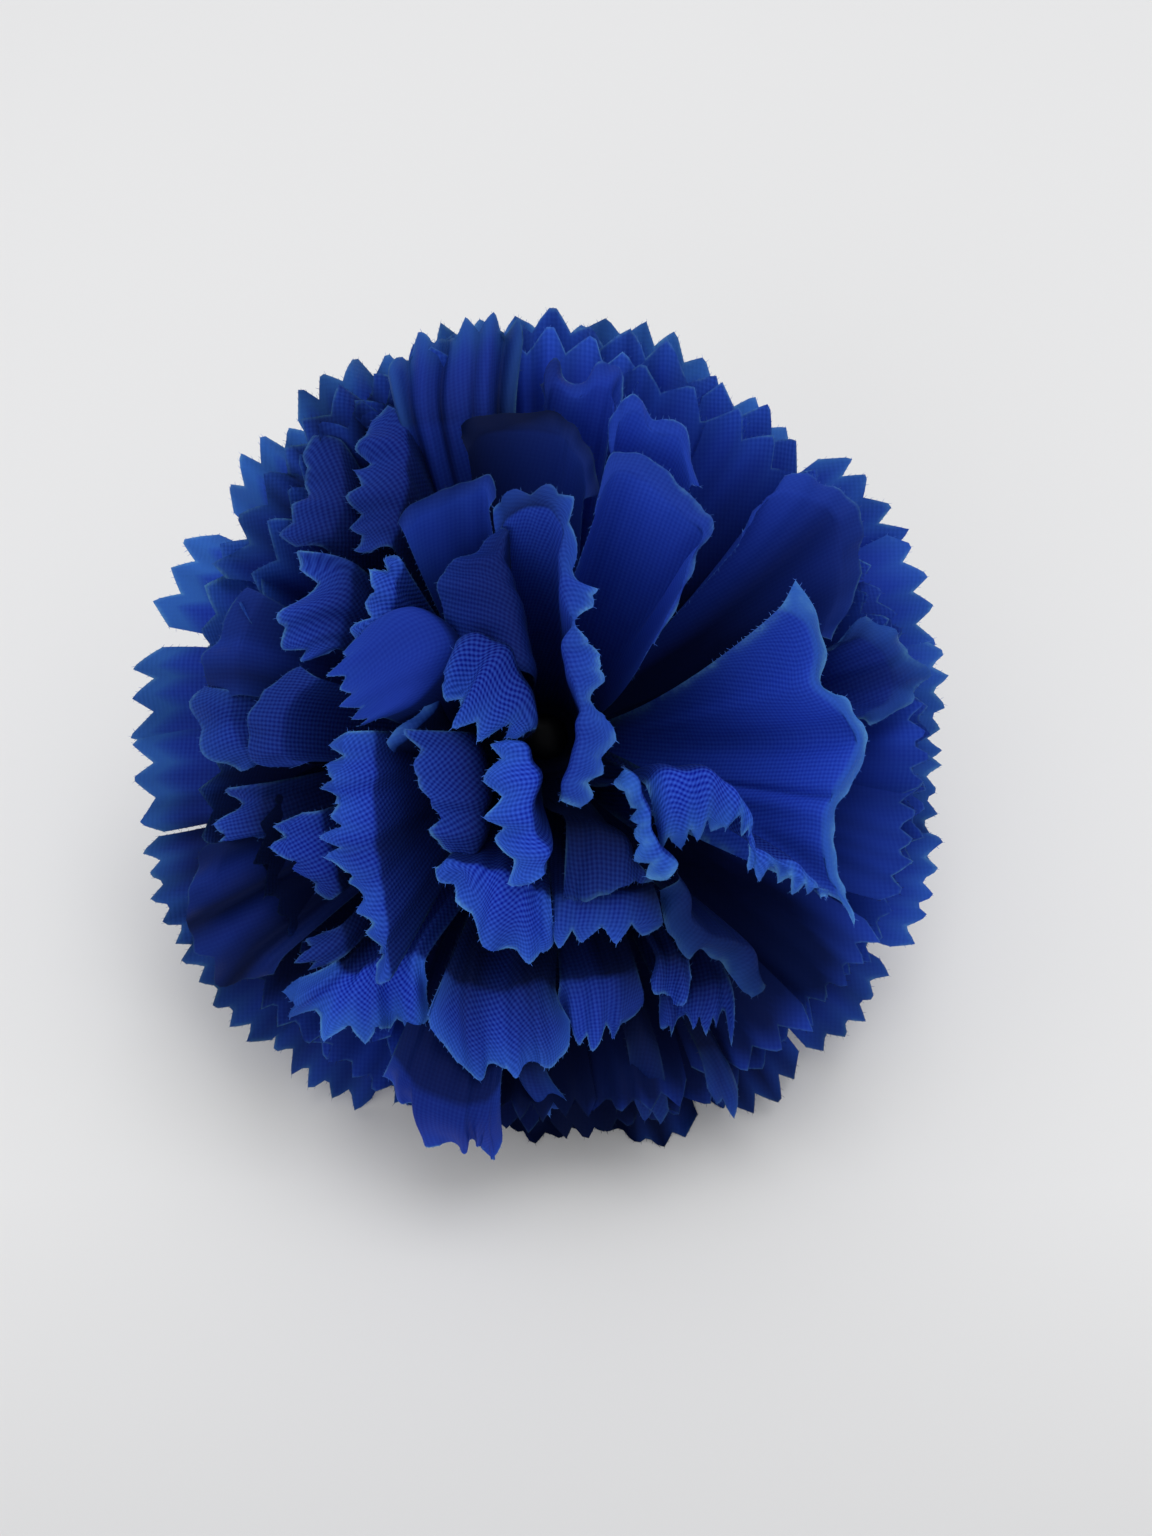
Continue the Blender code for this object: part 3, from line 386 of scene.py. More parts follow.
        "lower_right_curl": Petal(
            root=(304, -12), teeth=6, shade=(0.92, 0.9, 0.7), cut=0.12, weave=0.5, pale=0.6,
            fray=(0.1, 0.3, 0.45),
            ribs=[
                ((15.2, -15.9, 28.4), (12.9, -17.3, 28.0)), ((16.4, -18.5, 28.2), (13.1, -19.9, 27.5)),
                ((17.4, -21.2, 27.7), (14.4, -22.9, 26.8)), ((19.4, -22.6, 26.9), (17.1, -23.6, 26.0)),
                ((21.9, -23.1, 26.0), (19.3, -25.2, 25.0)), ((23.6, -24.4, 25.1), (21.0, -27.1, 24.2)),
                ((24.5, -27.7, 24.2), (22.9, -29.1, 23.5)),
            ],
        ),
    },
    "cloth_disc_4": {
        "right_fan": Petal(
            root=(347, -28), teeth=14, shade=(0.0, 0.14, 0.0), cut=0.06, weave=0.45, lean=0.0, pale=0.9,
            slow=3.6, calm=0.25, fray=(0.6, 0.7, 0.5, 0.8, 0.6, 0.7, 0.5), shadows=((0.08, 0.14, 0.14),),
            wall_folds=True,
            folds=(
                (0.1, 0.5, 0.08), (0.27, 0.8, 0.09), (0.41, -1.0, 0.07), (0.54, 0.7, 0.08),
                (0.635, -0.8, 0.012), (0.68, 0.5, 0.03), (0.86, -0.6, 0.07),
            ),
            ribs=[
                ((26.3, 14.0, 27.4), (28.0, 17.0, 27.8)), ((29.2, 12.4, 27.5), (30.3, 12.9, 26.0)),
                ((30.2, 9.0, 27.0), (31.2, 9.0, 25.2)), ((29.9, 5.7, 26.3), (30.9, 5.2, 24.5)),
                ((32.0, 3.6, 25.8), (33.0, 4.0, 24.0)), ((33.7, 1.2, 25.5), (34.8, 1.8, 23.6)),
                ((34.6, -1.0, 25.2), (35.7, -0.7, 23.3)), ((33.8, -3.6, 25.0), (34.9, -4.0, 23.1)),
                ((32.2, -6.2, 24.8), (33.2, -6.7, 23.0)), ((31.1, -9.2, 24.3), (32.1, -9.8, 22.5)),
                ((30.9, -12.4, 23.8), (32.2, -12.5, 22.0)), ((31.4, -15.7, 23.0), (32.8, -15.8, 21.2)),
                ((32.2, -17.0, 22.4), (33.6, -18.0, 20.8)), ((32.7, -18.3, 21.6), (34.2, -21.0, 19.8)),
            ],
        ),
        "right_upper": Petal(
            root=(30, -10), teeth=4, shade=(0.4, 0.4, 0.3), cut=0.12, weave=0.2, slow=1.6, calm=0.7,
            fray=(0.05, 0.12, 0.05), shadows=((0.6, 0.26, 0.22), (0.9, 0.34, 0.22)),
            folds=((0.28, 0.5, 0.12), (0.52, -0.6, 0.1), (0.72, 0.4, 0.1)), wall_folds=True,
            ribs=[
                ((21.6, 21.0, 22.4), (22.0, 22.6, 22.0)), ((25.0, 26.2, 21.8), (26.2, 28.4, 21.0)),
                ((28.6, 26.2, 21.4), (30.4, 28.2, 20.6)), ((31.6, 24.2, 21.0), (34.2, 26.0, 20.0)),
                ((32.6, 20.8, 20.8), (35.4, 21.6, 19.8)), ((32.6, 15.8, 21.0), (34.4, 16.0, 20.2)),
                ((30.4, 10.8, 21.4), (31.8, 10.4, 21.0)),
            ],
        ),
        "right_tuck": Petal(
            root=(8, -7), teeth=4, shade=(0.62, 0.66, 0.36), cut=0.4, weave=0.4, pale=0.6, slow=1.4,
            fray=(0.25, 0.45, 0.2), shadows=((0.0, 0.2, 0.3),), folds=((0.3, 0.5, 0.1), (0.6, -0.6, 0.1)),
            ribs=[
                ((31.4, 9.0, 21.2), (32.2, 10.4, 21.0)), ((34.4, 11.0, 21.2), (35.7, 13.0, 20.6)),
                ((37.0, 9.8, 20.8), (38.8, 11.4, 20.0)), ((38.2, 7.8, 20.4), (41.2, 9.3, 19.0)),
                ((38.6, 5.6, 20.2), (42.4, 6.2, 18.6)), ((38.0, 3.8, 20.2), (40.6, 3.2, 19.0)),
                ((35.2, 1.8, 20.6), (36.2, 0.8, 20.2)),
            ],
        ),
        "scalloped": Petal(
            root=(66, -16), teeth=8, shade=(0.1, 0.26, 0.3), cut=0.15, weave=0.25, slow=3.0, calm=0.5,
            fray=(0.08, 0.05, 0.16),
            ribs=[
                ((7.6, 29.8, 24.2), (7.3, 31.6, 24.2)), ((8.5, 34.2, 24.6), (8.0, 35.8, 24.2)),
                ((9.6, 35.4, 24.8), (9.4, 37.0, 24.2)), ((10.7, 35.4, 24.8), (11.0, 37.1, 24.2)),
                ((11.8, 33.6, 24.8), (12.2, 34.9, 24.4)), ((13.5, 33.0, 24.8), (13.8, 34.5, 24.2)),
                ((14.9, 32.8, 24.8), (15.4, 34.4, 24.0)), ((15.6, 30.8, 24.8), (16.5, 31.6, 24.2)),
                ((16.4, 27.4, 24.8), (17.4, 27.2, 24.4)),
            ],
        ),
        "top_notched": Petal(
            root=(86, -14), teeth=5, shade=(0.3, 0.3, 0.42), cut=0.1, weave=0.2, slow=2.6, fray=(0.12, 0.12),
            shadows=((0.0, 0.4, 0.3),),
            ribs=[
                ((0.2, 36.6, 21.0), (-0.4, 38.7, 20.4)), ((1.3, 38.6, 21.6), (1.7, 41.3, 20.2)),
                ((3.6, 37.0, 22.0), (3.6, 38.7, 21.2)), ((6.0, 38.4, 22.2), (6.6, 41.0, 20.6)),
                ((7.5, 37.6, 22.0), (8.5, 39.7, 20.6)), ((7.6, 33.8, 22.2), (8.6, 34.9, 21.6)),
            ],
        ),
        "top_left": Petal(
            root=(112, -16), teeth=6, shade=(0.66, 0.76, 0.44), weave=0.3, pale=0.8, slow=1.6,
            shadows=((0.92, 0.1, 0.16, 0.3),),
            folds=(
                (0.05, 0.3, 0.05), (0.13, -0.8, 0.025), (0.24, 0.4, 0.07), (0.42, -1.0, 0.03),
                (0.56, 0.3, 0.05), (0.66, -0.6, 0.02), (0.75, 0.5, 0.04), (0.86, -0.9, 0.03),
            ),
            ribs=[
                ((-15.6, 34.0, 20.8), (-17.4, 41.2, 17.6)), ((-13.4, 34.6, 21.2), (-14.2, 43.9, 17.0)),
                ((-11.2, 34.8, 21.0), (-11.0, 45.3, 16.4)), ((-8.4, 34.8, 20.4), (-8.0, 46.2, 16.0)),
                ((-5.6, 34.4, 19.8), (-4.7, 46.5, 15.6)), ((-3.0, 34.0, 19.2), (-2.0, 45.6, 15.4)),
            ],
        ),
        "left_toothed": Petal(
            root=(131, 16), teeth=6, shade=(0.85, 0.66, 0.48), cut=0.6, weave=0.8, lean=-0.6,
            shadows=((0.7, 0.12, 0.3),),
            ribs=[
                ((-15.0, 34.8, 20.6), (-17.8, 36.2, 19.0)), ((-15.0, 31.6, 22.6), (-21.2, 32.2, 20.4)),
                ((-15.0, 28.3, 23.8), (-20.2, 28.6, 21.6)), ((-15.5, 25.4, 24.4), (-21.8, 25.3, 22.2)),
                ((-16.0, 22.7, 24.8), (-21.3, 22.0, 22.6)), ((-16.8, 20.6, 24.8), (-19.6, 19.4, 23.6)),
            ],
        ),
        "left_upper": Petal(
            root=(143, 10), teeth=4, shade=(0.85, 0.8, 0.54), cut=0.6, weave=0.8, lean=-0.78,
            ribs=[
                ((-22.4, 32.4, 19.6), (-26.2, 32.6, 17.8)), ((-22.0, 28.8, 20.6), (-27.2, 29.4, 18.4)),
                ((-22.0, 25.5, 21.0), (-27.0, 26.1, 18.8)), ((-23.1, 22.8, 21.0), (-28.9, 23.4, 19.0)),
                ((-24.2, 20.6, 20.8), (-28.6, 20.6, 19.4)),
            ],
        ),
        "left_points": Petal(
            root=(156, 13), teeth=4, shade=(0.85, 0.72, 0.2), weave=0.9, lean=-0.52,
            ribs=[
                ((-21.0, 19.0, 23.8), (-28.9, 20.5, 22.0)), ((-21.2, 16.4, 24.2), (-27.0, 16.4, 22.6)),
                ((-21.8, 13.2, 24.0), (-30.5, 11.1, 21.6)), ((-22.4, 10.6, 23.4), (-28.0, 8.2, 21.6)),
                ((-22.6, 9.4, 22.8), (-24.6, 8.0, 22.0)),
            ],
        ),
        "left_round": Petal(
            root=(181, 14), teeth=6, shade=(0.68, 0.68, 0.6), cut=0.08, lean=0.0, calm=0.4, fray=(0.08, 0.08),
            ribs=[
                ((-24.6, 6.2, 22.4), (-26.8, 7.6, 21.8)), ((-26.8, 4.6, 22.2), (-30.0, 5.6, 20.8)),
                ((-28.4, 2.4, 21.9), (-31.9, 3.0, 20.3)), ((-28.8, -0.1, 21.6), (-32.7, -0.1, 19.8)),
                ((-28.4, -2.2, 21.3), (-31.9, -3.2, 19.8)), ((-25.6, -3.0, 21.2), (-27.6, -3.6, 20.6)),
            ],
        ),
        "left_soft": Petal(
            root=(166, 8), teeth=3, shade=(0.76, 0.76, 0.68), cut=0.2, weave=0.3, slow=1.0, calm=0.6,
            fray=(0.05, 0.05), folds=((0.45, 0.6, 0.12), (0.75, -0.6, 0.1)),
            ribs=[
                ((-30.6, 15.4, 19.8), (-32.8, 16.4, 19.0)), ((-32.8, 11.4, 19.4), (-35.8, 11.8, 18.2)),
                ((-33.8, 7.6, 19.2), (-37.4, 7.4, 17.6)), ((-33.4, 4.4, 19.2), (-36.0, 3.6, 18.0)),
            ],
        ),
        "left_woven": Petal(
            root=(183, 7), teeth=3, shade=(0.66, 0.62, 0.52), cut=0.4, pale=0.3, folds=((0.4, 0.4, 0.12),),
            ribs=[
                ((-34.6, 5.0, 18.8), (-37.9, 5.4, 17.4)), ((-34.6, 2.0, 18.8), (-39.3, 1.6, 16.8)),
                ((-33.6, -0.6, 18.8), (-37.6, -2.2, 17.0)), ((-32.0, -1.8, 18.8), (-34.4, -4.0, 17.8)),
                ((-30.2, -2.2, 18.8), (-31.4, -3.6, 18.4)),
            ],
        ),
        "left_low_soft": Petal(
            root=(209, 11), teeth=5, shade=(0.86, 0.86, 0.8), cut=0.5, weave=0.2, slow=1.0, fray=(0.05, 0.05),
            shadows=((0.0, 0.1, 0.2), (0.62, 0.08, 0.12)),
            folds=((0.22, 0.8, 0.08), (0.4, -0.9, 0.05), (0.56, 0.8, 0.07), (0.76, -0.8, 0.06)),
            ribs=[
                ((-34.8, -11.6, 17.8), (-37.8, -12.0, 16.6)), ((-35.8, -16.0, 17.4), (-39.8, -17.6, 15.8)),
                ((-35.0, -20.8, 17.2), (-38.8, -23.4, 15.6)), ((-31.8, -24.0, 17.4), (-34.8, -27.6, 15.8)),
                ((-28.4, -24.2, 17.8), (-30.0, -26.8, 16.8)),
            ],
        ),
        "left_small": Petal(
            root=(193, 7), teeth=3, shade=(0.9, 0.86, 0.26),
            ribs=[
                ((-30.8, -5.3, 18.6), (-36.5, -6.0, 16.6)), ((-31.0, -7.4, 18.8), (-35.2, -8.2, 16.8)),
                ((-31.0, -9.7, 18.6), (-36.7, -11.4, 16.2)), ((-30.4, -11.2, 18.4), (-32.8, -12.2, 17.0)),
            ],
        ),
        "left_low": Petal(
            root=(206, 12), teeth=4, shade=(0.8, 0.46, 0.24), shadows=((1.0, 0.3, 0.3),),
            ribs=[
                ((-24.6, -8.4, 23.0), (-28.6, -8.6, 21.5)), ((-24.2, -11.0, 23.2), (-30.6, -11.2, 21.0)),
                ((-23.4, -13.5, 23.0), (-28.8, -13.9, 20.8)), ((-22.8, -15.7, 22.8), (-27.2, -16.5, 20.8)),
                ((-22.2, -17.5, 22.4), (-24.4, -18.9, 21.2)),
            ],
        ),
        "low_left_small": Petal(
            root=(220, 8), teeth=3, shade=(0.9, 0.78, 0.56),
            ribs=[
                ((-22.2, -21.0, 21.8), (-26.4, -22.0, 20.2)), ((-22.0, -22.8, 21.8), (-27.4, -24.9, 19.8)),
                ((-21.5, -24.2, 21.6), (-25.6, -26.3, 19.9)),
            ],
        ),
        "low_left": Petal(
            root=(238, 16), teeth=7, shade=(0.64, 0.0, 0.0), lean=0.8, pale=0.6, shadows=((0.0, 0.3, 0.3),),
            folds=((0.3, 0.5, 0.07), (0.55, -0.6, 0.07), (0.75, 0.5, 0.07)),
            ribs=[
                ((-22.8, -24.9, 21.0), (-28.9, -27.5, 19.0)), ((-22.4, -26.2, 21.2), (-28.6, -31.0, 18.6)),
                ((-20.8, -26.4, 21.4), (-24.6, -32.8, 18.4)), ((-18.8, -25.7, 21.8), (-19.6, -34.1, 18.2)),
                ((-16.5, -24.9, 22.1), (-16.8, -33.0, 18.6)), ((-14.3, -24.5, 22.4), (-13.4, -34.3, 18.6)),
                ((-12.9, -25.0, 22.8), (-12.0, -29.0, 20.6)),
            ],
        ),
        "low_front": Petal(
            root=(264, 18), teeth=8, shade=(0.95, 0.72, 0.0), cut=0.3, lean=0.6, pale=0.45,
            shadows=((1.0, 0.2, 0.2),), folds=((0.25, -0.5, 0.06), (0.45, 0.6, 0.08), (0.7, -0.5, 0.06)),
            ribs=[
                ((-10.7, -26.2, 25.0), (-12.4, -31.1, 22.8)), ((-9.6, -27.6, 25.3), (-10.6, -35.1, 22.2)),
                ((-7.7, -28.4, 25.5), (-6.9, -38.0, 21.6)), ((-5.2, -28.6, 25.6), (-5.0, -36.8, 21.6)),
                ((-3.0, -28.4, 25.6), (-2.9, -38.0, 21.4)), ((-1.1, -28.0, 25.5), (-0.6, -36.3, 21.6)),
                ((0.3, -27.6, 25.2), (1.7, -36.7, 21.4)), ((1.6, -28.2, 24.6), (3.5, -32.2, 22.5)),
            ],
        ),
        "low_tongue": Petal(
            root=(253, 12), teeth=10, shade=(0.86, 0.66, 0.18), cut=0.1, weave=0.3, calm=0.6, fray=(0.1, 0.1),
            ribs=[
                ((-16.6, -35.4, 21.6), (-17.6, -37.6, 18.6)), ((-15.7, -36.6, 22.0), (-16.0, -39.4, 18.0)),
                ((-14.9, -37.8, 22.2), (-14.3, -41.0, 17.0)), ((-13.8, -39.4, 22.4), (-13.3, -45.3, 15.6)),
                ((-11.6, -40.4, 22.4), (-11.3, -44.6, 15.0)), ((-9.4, -41.2, 22.0), (-9.0, -46.1, 14.0)),
                ((-8.2, -41.2, 21.8), (-8.0, -44.8, 14.0)), ((-7.0, -41.0, 21.6), (-7.2, -45.4, 13.8)),
                ((-6.2, -40.8, 21.6), (-6.4, -44.9, 13.8)), ((-5.4, -40.0, 21.6), (-5.7, -47.2, 13.0)),
                ((-4.6, -38.6, 21.6), (-4.7, -42.8, 15.8)),
            ],
        ),
        "low_middle": Petal(
            root=(284, 12), teeth=5, shade=(0.85, 0.5, 0.0), weave=0.7, shadows=((1.0, 0.45, 0.35),),
            ribs=[
                ((1.9, -27.3, 22.8), (1.2, -30.6, 21.2)), ((3.3, -27.3, 23.0), (3.0, -33.8, 20.3)),
                ((5.2, -27.3, 23.0), (4.7, -35.2, 19.9)), ((7.2, -27.0, 23.0), (6.8, -34.0, 20.0)),
                ((8.8, -26.7, 23.0), (8.5, -33.8, 20.0)), ((10.5, -26.0, 22.8), (11.2, -30.4, 20.8)),
            ],
        ),
        "low_heart": Petal(
            root=(298, 7), teeth=3, shade=(0.95, 0.97, 0.22), cut=0.2,
            ribs=[
                ((12.4, -24.2, 24.0), (11.9, -27.3, 23.0)), ((13.5, -24.4, 24.2), (13.1, -28.9, 22.6)),
                ((14.9, -24.2, 24.2), (15.0, -30.2, 22.2)), ((16.0, -24.4, 24.0), (16.7, -27.3, 22.9)),
            ],
        ),
        "foot_one": Petal(
            root=(268, 5), teeth=2, shade=(1.0, 0.97, 0.3), weave=0.4, pale=0.4,
            ribs=[
                ((-3.6, -35.2, 19.5), (0.2, -41.4, 15.5)), ((-1.8, -35.8, 19.8), (1.8, -42.4, 15.0)),
                ((0.2, -36.2, 19.5), (3.4, -41.2, 15.2)),
            ],
        ),
        "foot_two": Petal(
            root=(285, 5), teeth=2, shade=(1.0, 0.98, 0.7), weave=0.4, pale=0.3,
            ribs=[
                ((9.1, -33.9, 17.5), (10.0, -42.1, 13.5)), ((11.0, -33.3, 17.8), (12.1, -43.2, 13.0)),
                ((12.7, -34.4, 17.5), (14.0, -43.0, 13.2)),
            ],
        ),
        "foot_three": Petal(
            root=(297, 4), teeth=2, shade=(1.0, 0.94, 0.5), weave=0.4, pale=0.4,
            ribs=[
                ((17.1, -35.0, 15.8), (18.2, -40.5, 12.5)), ((18.7, -34.7, 16.0), (19.9, -41.6, 12.0)),
                ((20.1, -35.5, 15.8), (21.9, -40.6, 12.4)),
            ],
        ),
        "low_right": Petal(
            root=(303, 12), teeth=6, shade=(0.9, 0.84, 0.26), weave=0.8,
            ribs=[
                ((12.8, -28.6, 21.2), (12.4, -31.4, 20.4)), ((14.3, -28.8, 21.3), (13.9, -34.3, 19.6)),
                ((16.2, -28.2, 21.3), (16.0, -32.4, 19.9)), ((17.9, -27.8, 21.1), (18.0, -33.6, 19.3)),
                ((19.5, -27.2, 20.8), (19.6, -32.4, 19.3)), ((20.6, -27.2, 20.5), (21.0, -34.4, 18.7)),
            ],
        ),
    },
}

# How wide petals leave the hub, turn over and wave
ROOT_SUNK = 0.6
FOLD_REACH = 1.2  # how far below its crest a wall starts to turn over, in lengths of its lip
TOOTH_SHARE = 0.6  # the most of a lip that a notch cuts into
WAVELENGTHS = (9.0, 5.5, 3.6)
FEWEST_WAVES = 0.8  # across a petal, for each wavelength
WAVE_SLANT = (-2.0, 2.0)  # what the slant and the strength of a wave lie between
WAVE_STRENGTH = (0.5, 1.0)
CURL_START, CURL_RISE = 1.55, 0.45  # from the crest's row, 1, to the edge's, 2
CURL_HEIGHT = 1.1  # of a tooth, in heights of the small waves
TIP_PLACES = (0.32, 0.68)  # where across a tooth its tip may be
TIP_REACH = (0.68, 1.08)  # and how far out, as a share of a full tooth
FOLD_START, FOLD_RISE = 0.25, 0.6
WALL_FOLD_END, WALL_FOLD_FADE = 1.2, 0.4
FOLD_SHADE = 0.20  # how much darker a fold's valley is for each mm of its depth

# How finely the cloth is drawn
TOOTH_COLUMNS = 8
OUTER_COLUMNS = 24  # across an outer petal
WALL_ROWS = 16
LIP_ROWS = 12
RING_ROWS = 12  # of an outer disc as far as its slits
OUTER_ROWS = 15  # and from there to its teeth
OUTER_SIDE_ROW = 12  # from which an outer petal's sides have loose threads
TEETH_SHARE = 0.16  # of an outer petal's length where its teeth are
TOOTH_ROWS = (0.3, 0.55, 0.75, 0.88, 0.95, 1.0)
SIDE_PLACES = (0.12, 0.35)  # of extra columns beside a cut side
HUB_RINGS, HUB_SIDES = 4, 48
PEG_SIDES = 40
CALYX_RINGS, CALYX_SIDES = 26, 192

# The peg and the calyx, as in the solids
PIN_RADIUS = 1.25
HEAD_RADIUS = 2.5
PIN_FOOT = -9.0
PIN_CHAMFER = 0.3
CHAMFER_LENGTH = 0.6
HEAD_LIP = 0.15  # the rounding under the peg's head
HEAD_SIDE = 0.6  # from under the head to its dome
HEAD_DOME = 1.3
CLOTH_THICKNESS = 0.7  # of the solids that the thin cloth stands for
SEAT_GAP = 0.3
CALYX_TOP = -0.7
CALYX_PROFILE = ((-2.0, 7.4), (-6.0, 7.0), (-12.0, 6.2), (-18.0, 5.4), (-23.0, 4.3), (-26.0, 3.4))
CALYX_RIB = 0.12  # height of its ribs, four to a sepal, where it is at least RIB_FULL in radius
RIB_FULL = 6
STUB_RADIUS = 3.0
STUB_TOP = -27.0
STUB_DIP = 1.0
SEPALS = 6
SEPAL_RADIUS = 12.5
SEPAL_WAIST = 7.6
SEPAL_LEVELS = (0.9, 0.6, 0.2)  # of a sepal's root, its rim below and its rim above, under the calyx's top
SEPAL_TAPER = 2.2


def colour_setting(name, description, default):
    return FloatVectorProperty(
        name=name, description=description, default=default, min=0, max=1, subtype="COLOR"
    )


def length_setting(name, description, default, least=0):
    """A setting in metres."""
    return FloatProperty(
        name=name, description=description, default=default, min=least, precision=5, unit="LENGTH"
    )


class ClothSettings(bpy.types.PropertyGroup):
    """Sizes and colours of the cloth."""

    tooth_depth: length_setting("Tooth depth", "Depth of the pinked teeth", 0.0023)
    thread_pitch: length_setting("Thread pitch", "Distance between threads of the weave", 0.00048, least=1e-4)
    buckle: length_setting("Buckle", "Height of the small waves in the cloth", 0.00055)
    seed: IntProperty(name="Seed", description="Seed of the small waves and teeth", default=7, min=0)
    colour: colour_setting("Cloth colour", "Colour of the blue cloth", (0.0158, 0.0475, 0.515))
    # painted light: the colour that the cloth is lightened towards along a cut edge
    edge_light_colour: colour_setting("Tip colour", "Colour of the cloth near a cut edge", (0.036, 0.148, 0.575))
    fray_colour: colour_setting("Frayed colour", "Colour of the frayed cut edge", (0.100, 0.300, 0.660))
    # painted shade: how far the cloth's colour is darkened at most where it lies deep in the gathers
    painted_gather_shade: FloatProperty(
        name="Gather shade", description="How much darker the cloth is down in the gathers", default=0.96,
        min=0, max=1,
    )
    thread_length: length_setting("Loose thread length", "Length of a loose thread on a cut edge", 0.00036)
    threads_per_mm: FloatProperty(
        name="Loose threads", description="Loose threads in each millimetre of cut edge", default=1.3, min=0.1
    )


class PlasticSettings(bpy.types.PropertyGroup):
    """Colours of the moulded parts."""

    calyx_colour: colour_setting("Calyx colour", "Colour of the moulded calyx", (0.050, 0.150, 0.040))
    peg_colour: colour_setting("Peg colour", "Colour of the moulded peg", (0.002, 0.003, 0.006))


class StageSettings(bpy.types.PropertyGroup):
    """Floor and lights."""

    floor_colour: colour_setting("Floor colour", "Colour of the plain floor", (0.80, 0.796, 0.797))
    sky: FloatProperty(name="Sky", description="Strength of the even light all round", default=0.74, min=0)
    key: FloatProperty(name="Key", description="Watts of the large soft light in front", default=3.2, min=0)
    top: FloatProperty(name="Top", description="Watts of the soft light overhead", default=4.2, min=0)


def bloom_origin():
    """The bloom's own origin in the part's frame, in metres: the peg is on its axis and the floor is at 0."""
    low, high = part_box("peg")
    foot = (PIN_RADIUS - PIN_CHAMFER - PIN_FOOT) * math.sin(FACE_TILT) * MM
    return np.array([(low[0] + high[0]) / 2, high[1] - foot, -FLOOR * math.sin(FACE_TILT) * MM])


BLOOM_ORIGIN = bloom_origin()


def to_world(points):
    """Points (right, up, out) in the bloom's frame, in mm, to metres in the part's frame."""
    points = np.asarray(points, float)
    right, up, out = points[..., 0], points[..., 1], points[..., 2]
    back = up * math.sin(FACE_TILT) - out * math.cos(FACE_TILT)
    height = up * math.cos(FACE_TILT) + out * math.sin(FACE_TILT)
    return np.stack([right, back, height], axis=-1) * MM + BLOOM_ORIGIN


def seen(points):
    """Where points are in the bloom's frame, from where they show from the front."""
    points = np.asarray(points, float)
    nearer = 1 - (points[..., 2:] - RIM_PLANE) / EYE
    return np.concatenate([points[..., :2] * nearer, points[..., 2:]], axis=-1)


def along(values, share):
    """A smooth curve through evenly spaced values, at an array of shares of its length."""
    last = len(values) - 1
    index = np.clip((share * last).astype(int), 0, last - 1)
    x = (share * last - index)[..., None]
    before, start = values[np.maximum(index - 1, 0)], values[index]
    end, after = values[index + 1], values[np.minimum(index + 2, last)]
    return 0.5 * (
        2 * start + (end - before) * x + (2 * before - 5 * start + 4 * end - after) * x**2
        + (3 * start - before - 3 * end + after) * x**3
    )


def bend(start, end, leaving, arriving, x):
    """A curve from start to end that leaves and arrives with the given velocities."""
    x = x[..., None]
    return (
        (2 * x**3 - 3 * x**2 + 1) * start + (x**3 - 2 * x**2 + x) * leaving
        + (3 * x**2 - 2 * x**3) * end + (x**3 - x**2) * arriving
    )


def polar(radius, turn, *out):
    """Points from a radius and an angle in radians, and their height if that is given too."""
    return np.stack([radius * np.cos(turn), radius * np.sin(turn), *out], axis=-1)


def hump(x, middle, half):
    """A soft hump, 1 high in its middle and about a third as high at the half width from there."""
    return np.exp(-(((x - middle) / half) ** 2))


def unit(vectors):
    return vectors / np.maximum(np.linalg.norm(vectors, axis=-1, keepdims=True), 1e-9)


def lengths(points, axis):
    """The running length of a grid's lines along one axis."""
    steps = np.linalg.norm(np.diff(points, axis=axis), axis=-1)
    zero = np.zeros_like(np.take(steps, [0], axis=axis))
    return np.cumsum(np.concatenate([zero, steps], axis=axis), axis=axis)


def grid_normals(points):
    return unit(np.cross(np.gradient(points, axis=1), np.gradient(points, axis=0)))


def tooth_at(share, teeth):
    """The number of the tooth that each share across a petal is in."""
    return np.clip((share * teeth).astype(int), 0, teeth - 1)


def tooth_wave(share, teeth, rng):
    """How far out the cut edge is across a petal: 0 at a notch and about 1 at the tip of an uneven tooth."""
    index = tooth_at(share, teeth)
    tip = rng.uniform(*TIP_PLACES, teeth)[index]
    reach = rng.uniform(*TIP_REACH, teeth)[index]
    x = share * teeth - index
    return reach * np.where(x < tip, x / tip, (1 - x) / (1 - tip))


def cut_shares(teeth, width):
    """Shares across a petal for its columns, with a few more beside its cut sides."""
    shares = np.linspace(0, 1, teeth * TOOTH_COLUMNS + 1)
    beside = np.array(SIDE_PLACES) / max(width, 4)
    return np.unique(np.concatenate([shares, beside, 1 - beside]))


def wide_points(petal, hub, level, share, row):
    """Points of a wide petal. share (columns) runs across it, row (rows, columns) from 0 at the root to 2."""
    middle, half_width = petal.root
    hub_radius, rise = hub
    crests = seen([crest for crest, _ in petal.ribs])
    ends = seen([end for _, end in petal.ribs])
    crest, end = along(crests, share), along(ends, share)
    azimuth = np.radians(middle + half_width * (2 * share - 1))
    outward = polar(1.0, azimuth, 0 * azimuth)
    upward = np.array([0, 0, 1.0])
    root = outward * (hub_radius - ROOT_SUNK) + upward * level
    leaving = outward * math.cos(math.radians(rise)) + upward * math.sin(math.radians(rise))
    over = unit(unit(crest - root) + unit(end - crest))
    wall = np.linalg.norm(crest - root, axis=-1, keepdims=True)
    lip = np.linalg.norm(end - crest, axis=-1, keepdims=True)
    arriving = over * np.minimum(FOLD_REACH * lip, wall)
    rising = bend(root, crest, leaving * wall, arriving, np.minimum(row, 1))
    turning = bend(crest, end, over * lip, end - crest, np.maximum(row - 1, 0))
    return np.where(row[..., None] <= 1, rising, turning)


